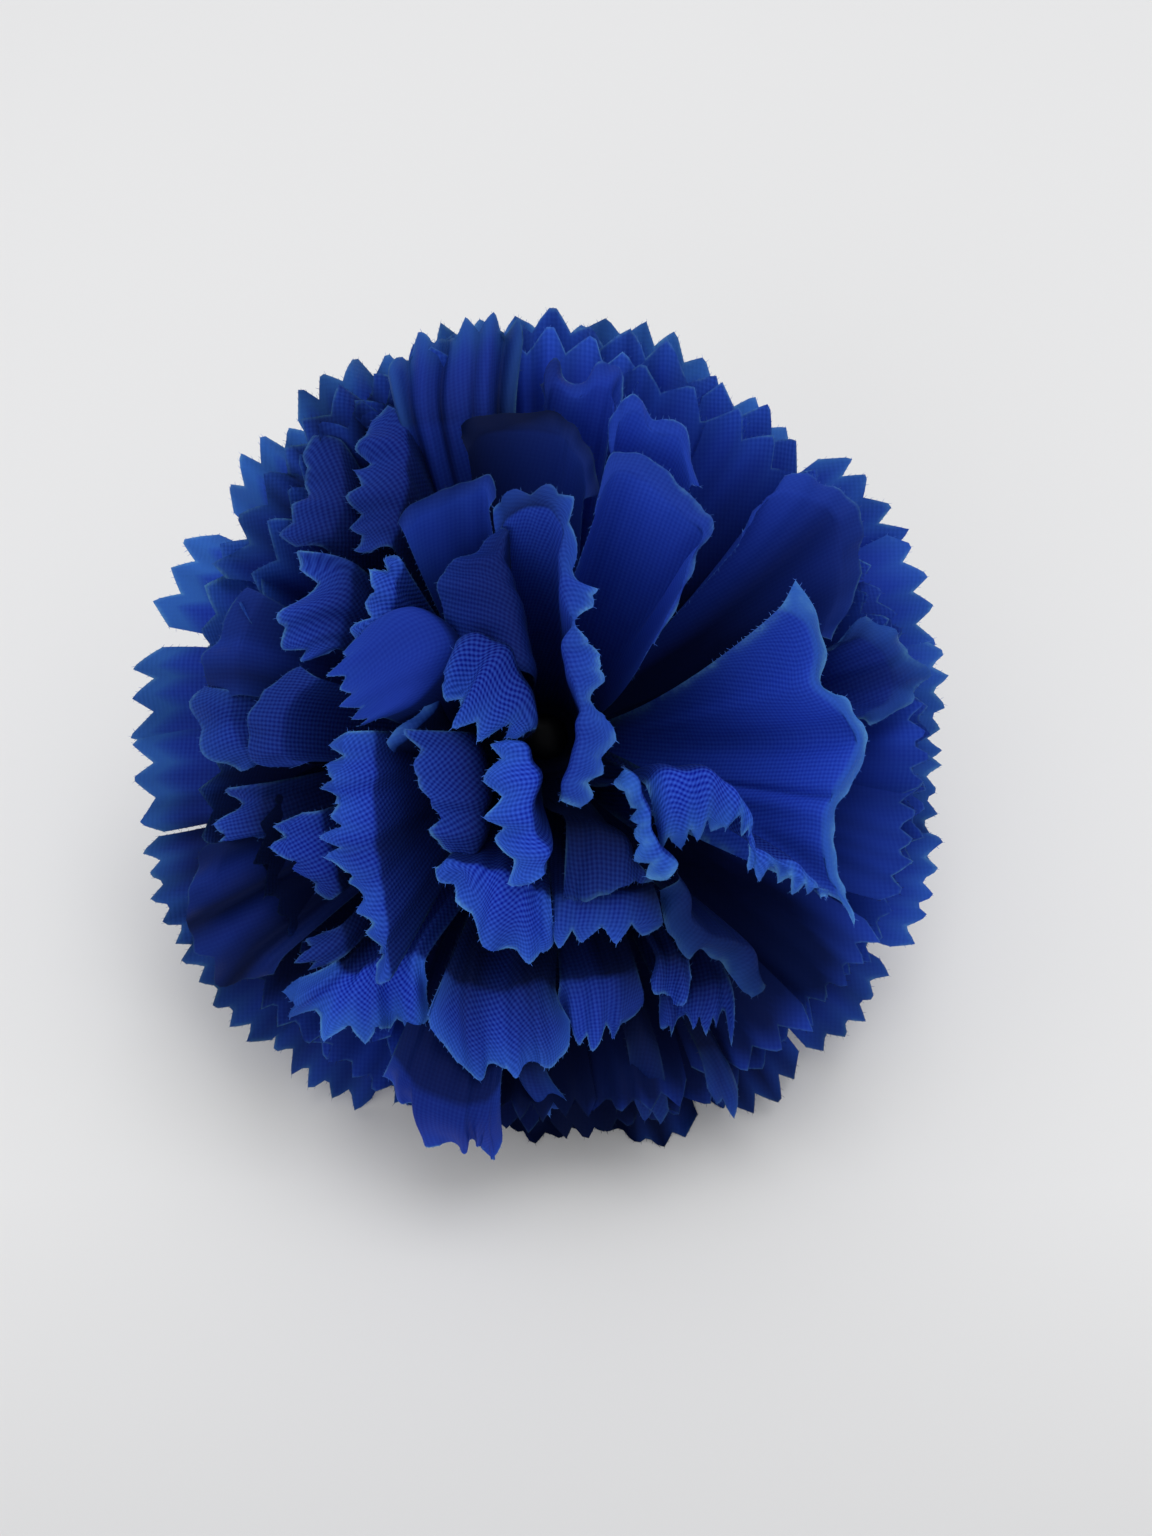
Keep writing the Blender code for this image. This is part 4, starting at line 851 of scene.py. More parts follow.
def petal_seed(name, settings):
    """A petal's own random draws, from the seed and its name."""
    number = sum(ord(letter) * place for place, letter in enumerate(name, 1))
    return np.random.default_rng(settings.seed * 1000 + number)


def above_floor(points):
    """Points of thin cloth in the part's frame, with none of them lower than cloth lies on the floor."""
    places = to_world(points)
    places[:, 2] = np.maximum(places[:, 2], CLOTH_LIFT * MM)
    return places


class Cloth:
    """One disc's cloth: its grids, with the place of each point in the flat cut, and its cut lines."""

    def __init__(self):
        self.places, self.flat, self.quads, self.cuts = [], [], [], []
        self.looks = {"fray": [], "tip": [], "deep": [], "shade": [], "weave": []}
        self.count = 0

    def grid(self, places, flat, edge, deep, looks, first_row=None, closed=False):
        """Adds a grid of points, edge being how far each is from a cut edge. It can start from a row of
        points that are there already. looks are its own shade, how plainly its weave shows, how much painted
        light lies along its cut edge and how wide the frayed line.
        """
        shade, weave, pale, fray = looks
        weave = weave + np.zeros(places.shape[:2])
        columns = places.shape[1]
        if first_row is not None:
            places, flat, edge, deep = places[1:], flat[1:], edge[1:], deep[1:]
            pale, fray, weave = pale[1:], fray[1:], weave[1:]
        size = places.shape[0] * columns
        index = self.count + np.arange(size).reshape(-1, columns)
        if first_row is not None:
            index = np.concatenate([[first_row], index])
        if closed:
            index = np.concatenate([index, index[:, :1]], axis=1)
        self.count += size
        self.places.append(places.reshape(-1, 3))
        self.flat.append(flat.reshape(-1, 2))
        self.looks["fray"].append(hump(edge, 0, fray).reshape(-1))
        self.looks["tip"].append((pale * hump(edge, 0, EDGE_LIGHT_WIDTH)).reshape(-1))
        self.looks["deep"].append(deep.reshape(-1))
        self.looks["shade"].append(np.full(size, shade))
        self.looks["weave"].append(weave.reshape(-1))
        corners = [index[:-1, :-1], index[:-1, 1:], index[1:, 1:], index[1:, :-1]]
        quads = np.stack(corners, axis=-1)
        self.quads.append(quads.reshape(-1, 4))
        return index

    def cut(self, places, inside, deep):
        """Adds a cut line, with points inside the cloth beside its own and how deep in shade each one is."""
        self.cuts.append((places, places - inside, deep))

    def cut_round(self, points, deep, first):
        """Adds a petal's cut edge and, from a row on, its sides as cut lines."""
        self.cut(points[-1], points[-3], deep[-1])
        for column, inner_column in ((0, 2), (-1, -3)):
            self.cut(points[first:, column], points[first:, inner_column], deep[first:, column])

    def mesh(self, name):
        """The cloth as a mesh, with its flat cut as a UV map in metres and its looks as attributes."""
        made = bpy.data.meshes.new(name)
        places = above_floor(np.concatenate(self.places))
        made.from_pydata(places.tolist(), [], np.concatenate(self.quads).tolist())
        corners = np.empty(len(made.loops), int)
        made.loops.foreach_get("vertex_index", corners)
        flat = np.concatenate(self.flat) * MM
        made.uv_layers.new(name="cut").data.foreach_set("uv", flat[corners].ravel())
        for label, values in self.looks.items():
            made.attributes.new(label, "FLOAT", "POINT").data.foreach_set("value", np.concatenate(values))
        made.shade_smooth()
        return made

    def cut_mesh(self, name):
        """The cut lines as edges, with the way out of the cloth and its shade as attributes."""
        made = bpy.data.meshes.new(name)
        places, edges, ways = [], [], []
        for line, outward, deep in self.cuts:
            start = len(places)
            places += above_floor(line).tolist()
            ways.append(to_world(outward) - BLOOM_ORIGIN)
            edges += [(start + i, start + i + 1) for i in range(len(line) - 1)]
        made.from_pydata(places, edges, [])
        ways = unit(np.concatenate(ways))
        made.attributes.new("outward", "FLOAT_VECTOR", "POINT").data.foreach_set("vector", ways.ravel())
        deep = np.concatenate([values for _, _, values in self.cuts])
        made.attributes.new("deep", "FLOAT", "POINT").data.foreach_set("value", deep)
        return made


def from_edge(points, farther=0.0):
    """How far each point of a grid is from the petal's cut edge and sides. The sides can count as farther."""
    down, across = lengths(points, 0), lengths(points, 1)
    sides = np.minimum(across, across[:, -1:] - across)
    return np.minimum((down[-1:] - down) * EDGE_SLANT, sides + farther)


def petal_rows(depth, notch):
    """A wide petal's rows with those of its teeth: 0 is its root, 1 its crest and 2 a full tooth's tip."""
    wall = np.linspace(0, 1, WALL_ROWS, endpoint=False)
    lip = np.linspace(1, 2, LIP_ROWS, endpoint=False)
    base = 2 - depth
    rows = []
    for row in np.concatenate([wall, lip]):
        rows.append(np.minimum(row, 1 + (base - 1) * (row - 1)) if row > 1 else np.full(len(depth), row))
    for part in (0.0,) + TOOTH_ROWS:
        rows.append(base + (2 - notch - base) * part)
    return np.array(rows)


def small_waves(share, row, width, rng):
    """The height of a wide petal's small waves, and how much of its teeth's curl each row has."""
    waves = np.zeros(row.shape)
    for wavelength in WAVELENGTHS:
        count = max(width / wavelength, FEWEST_WAVES)
        phase, slant = rng.uniform(0, math.tau), rng.uniform(*WAVE_SLANT)
        turns = math.tau * count * share[None] + slant * row + phase
        waves += rng.uniform(*WAVE_STRENGTH) * np.sin(turns)
    strength = np.clip(row / 2, 0, 1) ** 1.5
    bite = np.clip((row - CURL_START) / CURL_RISE, 0, 1) ** 2
    return waves * strength, CURL_HEIGHT * bite


def wide_petal(cloth, name, petal, hub, level, settings):
    """One wide petal, with folds, small waves across its wall and lip and a slight curl in each tooth."""
    rng = petal_seed(name, settings)
    crests = seen([crest for crest, _ in petal.ribs])
    ends = seen([end for _, end in petal.ribs])
    width = np.linalg.norm(np.diff(ends, axis=0), axis=-1).sum()
    share = cut_shares(petal.teeth, width)
    lip = np.linalg.norm(along(ends, share) - along(crests, share), axis=-1)
    depth = np.minimum(settings.tooth_depth / MM / lip, TOOTH_SHARE)
    teeth_out = tooth_wave(share, petal.teeth, rng)
    row = petal_rows(depth, depth * (1 - teeth_out) * petal.cut)
    points = wide_points(petal, hub, level, share, row)
    waves, bite = small_waves(share, row, width, rng)
    curl = rng.normal(0, 1, petal.teeth)[tooth_at(share, petal.teeth)] * teeth_out
    height = settings.buckle / MM * petal.calm * (waves + bite * curl[None])
    rising = np.clip(row - FOLD_START, 0, FOLD_RISE) / FOLD_RISE
    if petal.wall_folds:
        rising = rising * np.clip((WALL_FOLD_END - row) / WALL_FOLD_FADE, 0, 1)
    # painted shade: neighbours' shadows and darker fold valleys, on top of the wall's shade, which deepens
    # towards its root
    valley = np.zeros(row.shape)
    for place, on_lip, half, *on_wall in petal.shadows:
        depth_there = np.where(row < 1, on_wall[0] if on_wall else on_lip, on_lip)
        valley = valley + depth_there * hump(share[None], place, half)
    for place, fold, half in petal.folds:
        bent = fold * rising * hump(share[None], place, half)
        height, valley = height + bent, valley - FOLD_SHADE * bent
    points = points + grid_normals(points) * height[..., None]
    free_lean = rng.normal(0, WEAVE_LEAN)
    flat = flat_place(points, hub[0], free_lean if petal.lean is None else petal.lean)
    wall_shade, crest_shade, edge_shade = petal.shade
    wall_shade = wall_shade + (1 - wall_shade) * np.clip(1 - row, 0, 1) ** petal.slow
    deep = np.where(row < 1, wall_shade, crest_shade + (edge_shade - crest_shade) * (row - 1))
    deep = np.clip(deep + valley, 0, 1)
    fray = np.interp(share, np.linspace(0, 1, len(petal.fray)), petal.fray) + np.zeros(row.shape)
    pale = np.where(row >= 1, petal.pale, PETAL_EDGE_LIGHT)
    looks = (rng.uniform(-1, 1), petal.weave, pale, fray)
    cloth.grid(points, flat, from_edge(points), deep, looks)
    cloth.cut_round(points, deep, WALL_ROWS // 2)


def flat_place(points, hub_radius, lean):
    """Where a wide petal's points are in the flat cut, turned so that the threads lean from its own line."""
    across = lengths(points, 1)
    middle = across.shape[1] // 2
    right = across - across[:, middle : middle + 1]
    out = lengths(points, 0) + hub_radius
    cos, sin = math.cos(lean), math.sin(lean)
    return np.stack([right * cos - out * sin, right * sin + out * cos], axis=-1)


def hub_grid(cloth, radius, level):
    """The flat ring of cloth round the peg."""
    turns = np.linspace(0, math.tau, HUB_SIDES, endpoint=False)
    flat = polar(np.linspace(HOLE_RADIUS, radius, HUB_RINGS)[:, None], turns)
    points = np.concatenate([flat, np.full(flat.shape[:2] + (1,), float(level))], axis=-1)
    every = np.ones(flat.shape[:2])
    # painted shade: the hub is painted fully in shade, under the petals
    cloth.grid(points, flat, every * INSIDE, every, (0.0, HUB_WEAVE, every, every), closed=True)


def inner_cloth(name, level, settings):
    """An inner disc: its hub and its wide petals."""
    cloth = Cloth()
    hub = INNER_DISCS[name]
    hub_grid(cloth, hub[0], level)
    for petal_name, petal in WIDE_PETALS[name].items():
        wide_petal(cloth, petal_name, petal, hub, level, settings)
    return cloth


def round_profile(values, turn):
    """A value that changes smoothly round the bloom, from values evenly spaced round it."""
    values = np.array(values, float)
    at = np.mod(turn / math.tau * len(values), len(values))
    index = at.astype(int) % len(values)
    ease = 0.5 - 0.5 * np.cos(math.pi * (at - np.floor(at)))
    return values[index] * (1 - ease) + values[(index + 1) % len(values)] * ease


def disc_radius(disc, share):
    return FLAT_HUB_RADIUS + (disc.rim_radius - FLAT_HUB_RADIUS) * share


def pleats(disc, turn):
    """How far up a sharp pleat each angle is, from 0 in a valley to 1 on a ridge."""
    uneven = turn + 0.035 * np.sin(7 * turn + disc.rise) + 0.02 * np.sin(19 * turn)
    return np.abs(np.mod(uneven / math.tau * disc.pleats, 1) * 2 - 1)


def outer_points(disc, level, share, turn):
    """Points of an outer disc: share runs from its flat hub to its rim, and turn is the angle in radians."""
    reach = np.clip(share, 0, None)
    radius = disc_radius(disc, share) - round_profile(disc.insets, turn) * reach**2
    phase = disc.petals * (turn - disc.first_slit)
    strength = round_profile(RUFFLES, turn)
    ruffle = disc.wave * reach**2 * strength * (-np.cos(phase) + 0.5 * np.sin(5 * turn + disc.rise))
    pleat = PLEAT_HEIGHT * reach**2 * round_profile(PLEATS, turn) * (pleats(disc, turn) - 0.5)
    out = level + disc.rise * reach**RISE_CURVE + ruffle + pleat
    return polar(radius, turn, out)


def rim_depth(disc, share, turn):
    """How deep in shade an outer disc is: 0 at a lit rim, and 1 where the discs above hide it."""
    fade = np.clip((SHADED_SHARE - share) / round_profile(LIGHT_REACH, turn), 0, 1)
    covered_shade = disc.covered_shade * fade**LIGHT_FADE
    valley = PLEAT_SHADE * round_profile(PLEATS, turn) * (1 - pleats(disc, turn))
    grown = np.clip((share - SHADES_START) / SHADES_RISE, disc.covered_shade / 2, 1)
    shade = round_profile(disc.shades, turn) * grown
    radius = disc_radius(disc, share)
    for azimuth, away, half_turn, half_out, depth in SPOTS:
        off = np.mod(np.degrees(turn) - azimuth + 180, 360) - 180
        shade = shade + depth * hump(off, 0, half_turn) * hump(radius, away, half_out)
    return np.clip(covered_shade + shade + valley * np.clip(share, 0, 1), 0, 1)


def outer_petal(cloth, disc, level, ring_row, petal, rng):
    """One petal of an outer disc, from the ring's last row. It leans, twists and overlaps the next."""
    middle = disc.first_slit + math.tau * (petal + 0.5) / disc.petals
    count, strength, overlap, weave = (
        float(round_profile(values, np.array([middle]))[0])
        for values in (RIM_TEETH, RUFFLES, disc.overlaps, RIM_WEAVES)
    )
    x = np.linspace(0, 1, OUTER_COLUMNS + 1)
    side = 2 * x - 1
    teeth = int(round(count + rng.uniform(*TEETH_VARY)))
    depth = RIM_DEPTH / (disc.rim_radius - FLAT_HUB_RADIUS) * (FEWEST_TEETH / teeth) ** 0.6
    end = 1 + rng.normal(*LENGTH_VARY) - depth * (1 - tooth_wave(x, teeth, rng))
    inner = np.linspace(0, 1, OUTER_ROWS) * (1 - TEETH_SHARE)
    parts = np.concatenate([inner, 1 - TEETH_SHARE + TEETH_SHARE * np.array(TOOTH_ROWS)])[:, None]
    share = SLIT_START + (end - SLIT_START) * parts
    reach = np.clip((share - SLIT_START) / (1 - SLIT_START), 0, 1)
    grow = 1 + (overlap + rng.uniform(*OVERLAP_VARY)) * reach
    turn = middle + math.pi / disc.petals * (side * grow + rng.normal(*TURN_VARY) * reach)
    turn = turn + rng.normal(0, PETAL_SWIRL) * reach**2
    points = outer_points(disc, level, share, turn)
    tilt = rng.normal(0, PETAL_TILT)
    twist = rng.normal(*TWIST_VARY) * PETAL_TWIST
    pleat = rng.normal(*PLEAT_VARY) * PETAL_PLEAT
    curl = rng.normal(*CURL_VARY)
    lift = reach**1.5 * (tilt + twist * side) + reach * pleat * (1 - 2 * np.abs(side) ** 1.4)
    points[..., 2] += strength * (lift - curl * reach**4)
    flat = polar(disc_radius(disc, share), turn)
    deep = np.clip(rim_depth(disc, share, turn) + rng.normal(*DEPTH_VARY) * reach, 0, 1)
    edge = from_edge(points, SIDE_LIFT) + INSIDE * np.clip(1 - reach / 0.1, 0, 1)
    # painted light along the cut edge, changing round the bloom
    pale = disc.edge_light * round_profile(RIM_EDGE_LIGHT, turn)
    weave = weave * (0.3 + 0.7 * np.clip(reach * 4 - 3, 0, 1))
    looks = (rng.uniform(-1, 1), weave, pale, RIM_FRAY * np.clip(2 * pale, 0.35, 1))
    cloth.grid(points, flat, edge, deep, looks, first_row=ring_row)
    # painted shade of the loose threads: the cloth's own, deeper where no painted light lies along the edge
    thread_shade = np.clip(np.maximum(deep, deep + 0.5 - pale), 0, 1)
    cloth.cut_round(points, thread_shade, OUTER_SIDE_ROW)


def outer_cloth(name, level, settings):
    """An outer disc: one ring of cloth as far as the slits, and from there a petal between each two."""
    disc = OUTER_DISCS[name]
    rng = petal_seed(name, settings)
    cloth = Cloth()
    turns = np.linspace(0, math.tau, disc.petals * OUTER_COLUMNS, endpoint=False)[None] + disc.first_slit
    hole = (HOLE_RADIUS - FLAT_HUB_RADIUS) / (disc.rim_radius - FLAT_HUB_RADIUS)
    shares = np.concatenate([[hole, 0], np.linspace(0, SLIT_START, RING_ROWS + 1)[1:]])[:, None]
    points = outer_points(disc, level, shares + 0 * turns, turns + 0 * shares)
    every = np.ones(points.shape[:2])
    looks = (0.0, HUB_WEAVE, every, every)
    flat = polar(disc_radius(disc, shares), turns)
    ring = cloth.grid(points, flat, every * INSIDE, rim_depth(disc, shares, turns), looks, closed=True)
    for petal in range(disc.petals):
        first = ring[-1, petal * OUTER_COLUMNS : (petal + 1) * OUTER_COLUMNS + 1]
        outer_petal(cloth, disc, level, first, petal, rng)
    return cloth


def disc_cloths(settings):
    """Every disc's cloth by the name of its solid, from the lowest to the innermost."""
    made = {}
    for number, name in enumerate(OUTER_DISCS):
        made[name] = outer_cloth(name, number * HUB_STEP, settings)
    for number, name in enumerate(INNER_DISCS, len(OUTER_DISCS)):
        made[name] = inner_cloth(name, number * HUB_STEP, settings)
    return made


class Tree:
    """Short calls for building a node tree."""

    def __init__(self, tree):
        self.tree = tree

    def node(self, kind, links=(), **settings):
        """Adds a node. links maps its inputs, by name or number, to a socket or a plain value."""
        made = self.tree.nodes.new(kind)
        for name, value in settings.items():
            setattr(made, name, value)
        for name, value in dict(links).items():
            if isinstance(value, bpy.types.NodeSocket):
                self.tree.links.new(value, made.inputs[name])
            else:
                made.inputs[name].default_value = value
        return made

    def math(self, operation, *values):
        return self.node("ShaderNodeMath", dict(enumerate(values)), operation=operation).outputs[0]

    def plus(self, first, second):
        return self.math("ADD", first, second)

    def times(self, first, second):
        return self.math("MULTIPLY", first, second)

    def mix(self, factor, first, second):
        """A blend of two colours."""
        return self.node("ShaderNodeMix", {0: factor, 6: first, 7: second}, data_type="RGBA").outputs[2]

    def attribute(self, label):
        return self.node("ShaderNodeAttribute", attribute_name=label).outputs["Fac"]

    def noise(self, place, scale, detail=2.0):
        return self.node("ShaderNodeTexNoise", {"Vector": place, "Scale": scale, "Detail": detail}).outputs[0]

    def spread(self, value, **limits):
        """A value mapped from one range to another, 0 to 1 where they aren't given."""
        links = {label.replace("_", " ").title(): limit for label, limit in limits.items()}
        return self.node("ShaderNodeMapRange", {"Value": value, **links}).outputs[0]

    def place(self):
        return self.node("ShaderNodeTexCoord").outputs["Object"]


def rgba(colour, gain=1.0):
    return tuple(channel * gain for channel in colour) + (1,)


def new_material(name):
    made = bpy.data.materials.new(name)
    made.use_nodes = True
    made.node_tree.nodes.clear()
    return made, Tree(made.node_tree)


def cloth_material(name, settings):
    """Plain-woven blue polyester: threads both ways, with painted shade down in the gathers, paler frayed
    edges, and painted light along its cut edges and on its threads' tops.
    """
    made, tree = new_material(name)
    uv = tree.node("ShaderNodeUVMap", uv_map="cut").outputs[0]
    parts = tree.node("ShaderNodeSeparateXYZ", {0: uv}).outputs
    turn = math.pi / settings.thread_pitch
    shift = tree.times(tree.noise(uv, scale=260.0), 1.1)
    across = tree.plus(tree.times(parts[0], turn), shift)
    down = tree.plus(tree.times(parts[1], turn), shift)
    checks = tree.times(tree.math("SINE", across), tree.math("SINE", down))
    ribs = tree.math("SINE", tree.times(down, 2.0))
    cords = tree.math("SINE", tree.times(across, 2.0))
    height = tree.plus(tree.times(checks, CHECK_HEIGHT), tree.times(ribs, RIB_HEIGHT))
    height = tree.plus(height, tree.times(cords, CORD_HEIGHT))
    height = tree.plus(tree.times(height, tree.attribute("weave")), 0.5)
    place = tree.place()
    cloud = tree.noise(place, scale=55.0, detail=3.0)
    light = tree.plus(tree.times(height, THREAD_LIGHT), tree.times(cloud, CLOUD_LIGHT))
    light = tree.plus(light, tree.times(tree.attribute("shade"), PETAL_LIGHT))
    ramp = tree.spread(light, from_min=0.10, from_max=0.94)
    # painted light: the weave's gaps are painted in shade and its threads' tops with a highlight
    shaded_gaps, pale = (
        tuple(channel * gain for channel, gain in zip(settings.colour, gains)) + (1,)
        for gains in (SHADED_THREAD_GAPS, LIT_THREAD_TOPS)
    )
    colour = tree.mix(ramp, shaded_gaps, pale)
    # painted light along the cut edges
    colour = tree.mix(tree.math("MINIMUM", tree.attribute("tip"), 1.0), colour, rgba(settings.edge_light_colour))
    grain = tree.noise(uv, scale=2600.0, detail=1.0)
    patches = tree.spread(tree.noise(place, scale=320.0), from_min=0.35, from_max=0.68)
    worn = tree.times(tree.times(tree.attribute("fray"), tree.times(grain, 1.9)), patches)
    worn = tree.node("ShaderNodeClamp", {0: worn}).outputs[0]
    colour = tree.mix(worn, colour, rgba(settings.fray_colour))
    # painted shade: the colour is darkened as deep as each point lies in shade
    deep = tree.spread(tree.attribute("deep"), to_min=0.0, to_max=settings.painted_gather_shade)
    colour = tree.mix(deep, colour, PAINTED_SHADE_COLOUR)
    bump = tree.node("ShaderNodeBump", {"Height": height, "Strength": 0.6, "Distance": 0.0001}).outputs[0]
    cloth = tree.node("ShaderNodeBsdfPrincipled", {
        "Base Color": colour, "Roughness": 0.6, "Specular IOR Level": 0.04, "Sheen Weight": 0.02,
        "Sheen Roughness": 0.4, "Sheen Tint": (0.20, 0.50, 1.0, 1.0), "Normal": bump,
    })
    through = tree.node("ShaderNodeBsdfTranslucent", {"Color": colour})
    both = tree.node("ShaderNodeMixShader", {0: 0.15, 1: cloth.outputs[0], 2: through.outputs[0]})
    tree.node("ShaderNodeOutputMaterial", {0: both.outputs[0]})
    return made


def thread_material(name, settings):
    """The loose threads along a cut edge, with painted shade where they lie deep."""
    made, tree = new_material(name)
    cloud = tree.noise(tree.place(), scale=900.0)
    colour = tree.mix(cloud, rgba(settings.colour, 1.6), rgba(settings.fray_colour, 1.1))
    # painted shade: threads deep in shade are darkened towards the shade colour
    deep = tree.math("MINIMUM", tree.times(tree.attribute("deep"), 1.15), 0.97)
    colour = tree.mix(deep, colour, PAINTED_SHADE_COLOUR)
    thread = tree.node("ShaderNodeBsdfPrincipled", {
        "Base Color": colour, "Roughness": 0.6, "Specular IOR Level": 0.1,
    })
    tree.node("ShaderNodeOutputMaterial", {0: thread.outputs[0]})
    return made


def plastic_material(name, colour, roughness):
    """Moulded plastic with a fine uneven skin and faint flow marks."""
    made, tree = new_material(name)
    place = tree.place()
    cloud = tree.noise(place, scale=120.0, detail=4.0)
    skin = tree.noise(place, scale=1800.0)
    tone = tree.mix(cloud, rgba(colour, 0.75), rgba(colour, 1.35))
    gloss = tree.spread(cloud, to_min=roughness - 0.08, to_max=roughness + 0.1)
    bump = tree.node("ShaderNodeBump", {"Height": skin, "Strength": 0.25, "Distance": 0.00005}).outputs[0]
    plastic = tree.node("ShaderNodeBsdfPrincipled", {
        "Base Color": tone, "Roughness": gloss, "Specular IOR Level": 0.3, "Normal": bump,
    })
    tree.node("ShaderNodeOutputMaterial", {0: plastic.outputs[0]})
    return made


def floor_material(name, settings):
    """Pale matt card, with a painted shadow darkening it in front."""
    made, tree = new_material(name)
    place = tree.place()
    cloud = tree.noise(place, scale=6.0)
    tone = tree.mix(cloud, rgba(settings.floor_colour, 0.99), rgba(settings.floor_colour, 1.01))
    # painted shadow: darker towards the front along Y
    front = tree.node("ShaderNodeSeparateXYZ", {0: place}).outputs[1]
    front = tree.spread(front, from_min=SHADE_START, from_max=SHADE_END)
    tone = tree.mix(front, tone, rgba(settings.floor_colour, PAINTED_FRONT_SHADOW))
    card = tree.node("ShaderNodeBsdfPrincipled", {
        "Base Color": tone, "Roughness": 0.7, "Specular IOR Level": 0.2,
    })
    tree.node("ShaderNodeOutputMaterial", {0: card.outputs[0]})
    return made


def add_object(name, mesh, material=None):
    made = bpy.data.objects.new(name, mesh)
    if material:
        mesh.materials.clear()
        mesh.materials.append(material)
    bpy.context.scene.collection.objects.link(made)
    return made


def thread_tree(material):
    """Geometry Nodes that set short loose threads along cut lines."""
    made = bpy.data.node_groups.new("loose_threads", "GeometryNodeTree")
    sockets = made.interface
    sockets.new_socket("Geometry", in_out="INPUT", socket_type="NodeSocketGeometry")
    for label, default in (("Spacing", 0.00045), ("Length", 0.0007), ("Radius", 0.00003), ("Spread", 0.6)):
        sockets.new_socket(label, in_out="INPUT", socket_type="NodeSocketFloat").default_value = default
    sockets.new_socket("Seed", in_out="INPUT", socket_type="NodeSocketInt").default_value = 1
    sockets.new_socket("Geometry", in_out="OUTPUT", socket_type="NodeSocketGeometry")
    tree = Tree(made)
    given = tree.node("NodeGroupInput").outputs
    line = tree.node("GeometryNodeMeshToCurve", {0: given["Geometry"]}).outputs[0]
    line = tree.node(
        "GeometryNodeResampleCurve", {"Curve": line, "Length": given["Spacing"]}, mode="LENGTH"
    ).outputs[0]
    thread = tree.node("GeometryNodeMeshCone", {
        "Vertices": 3, "Side Segments": 1, "Radius Bottom": given["Radius"],
        "Radius Top": tree.times(given["Radius"], THREAD_TAPER), "Depth": given["Length"],
    }, fill_type="NONE").outputs[0]
    way = tree.node(
        "GeometryNodeInputNamedAttribute", {"Name": "outward"}, data_type="FLOAT_VECTOR"
    ).outputs[0]
    stray = tree.node(
        "FunctionNodeRandomValue", {0: (-1, -1, -1), 1: (1, 1, 1), "Seed": given["Seed"]},
        data_type="FLOAT_VECTOR",
    ).outputs[0]
    stray = tree.node(
        "ShaderNodeVectorMath", {0: stray, "Scale": given["Spread"]}, operation="SCALE"
    ).outputs[0]
    way = tree.node("ShaderNodeVectorMath", {0: way, 1: stray}, operation="ADD").outputs[0]
    turned = tree.node("FunctionNodeAlignRotationToVector", {"Vector": way}, axis="Z").outputs[0]
    other_seed = tree.plus(given["Seed"], 17)
    size = tree.node(
        "FunctionNodeRandomValue", {0: LEAST_THREAD, 1: MOST_THREAD, "Seed": other_seed},
        data_type="FLOAT_VECTOR",
    ).outputs[0]
    threads = tree.node("GeometryNodeInstanceOnPoints", {
        "Points": line, "Instance": thread, "Rotation": turned, "Scale": size,
    }).outputs[0]
    threads = tree.node("GeometryNodeRealizeInstances", {0: threads}).outputs[0]
    threads = tree.node("GeometryNodeSetMaterial", {"Geometry": threads, "Material": material}).outputs[0]
    tree.node("NodeGroupOutput", {0: threads})
    return made


def set_input(modifier, label, value):
    """Sets a modifier's named input by its socket's identifier."""
    for item in modifier.node_group.interface.items_tree:
        if item.name == label and item.in_out == "INPUT":
            modifier[item.identifier] = value


def frozen(made):
    """The object with its modifiers' result as its plain mesh."""
    graph = bpy.context.evaluated_depsgraph_get()
    mesh = bpy.data.meshes.new_from_object(made.evaluated_get(graph))
    made.modifiers.clear()
    made.data = mesh
    mesh.name = made.name
    return made


def turned_mesh(name, rows, sides, outline=None):
    """A closed mesh turned round the bloom's axis from rows of (out, radius). outline gives a row's radii."""
    turns = np.linspace(0, math.tau, sides, endpoint=False)
    rings = []
    for number, (out, radius) in enumerate(rows):
        radii = outline(number, turns) if outline else np.full(sides, radius)
        rings.append(polar(radii, turns, np.full(sides, out)))
    points = to_world(np.concatenate(rings))
    points[:, 2] = np.maximum(points[:, 2], 0)
    faces = []
    for first in range(0, (len(rows) - 1) * sides, sides):
        for i in range(sides):
            j = (i + 1) % sides
            faces.append((first + i, first + j, first + sides + j, first + sides + i))
    faces.append(tuple(reversed(range(sides))))
    faces.append(tuple(range((len(rows) - 1) * sides, len(rows) * sides)))
    made = bpy.data.meshes.new(name)
    made.from_pydata(points.tolist(), [], faces)
    work = bmesh.new()
    work.from_mesh(made)
    bmesh.ops.recalc_face_normals(work, faces=work.faces)
    work.to_mesh(made)
    work.free()
    made.shade_smooth()
    made.set_sharp_from_angle(angle=math.radians(35))
    return made


class CARNATION_OT_cloth(bpy.types.Operator):
    """Make the six discs of cloth"""

    bl_idname = "carnation.cloth"
    bl_label = "Cloth discs"

    def execute(self, context):
        settings = context.scene.carnation_cloth
        material = cloth_material("blue_weave", settings)
        for number, (node, cloth) in enumerate(disc_cloths(settings).items(), 1):
            piece = add_object(f"petal_cloth_{number}", cloth.mesh(f"petal_cloth_{number}"), material)
            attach(piece, "root")
            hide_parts(node)
        return {"FINISHED"}


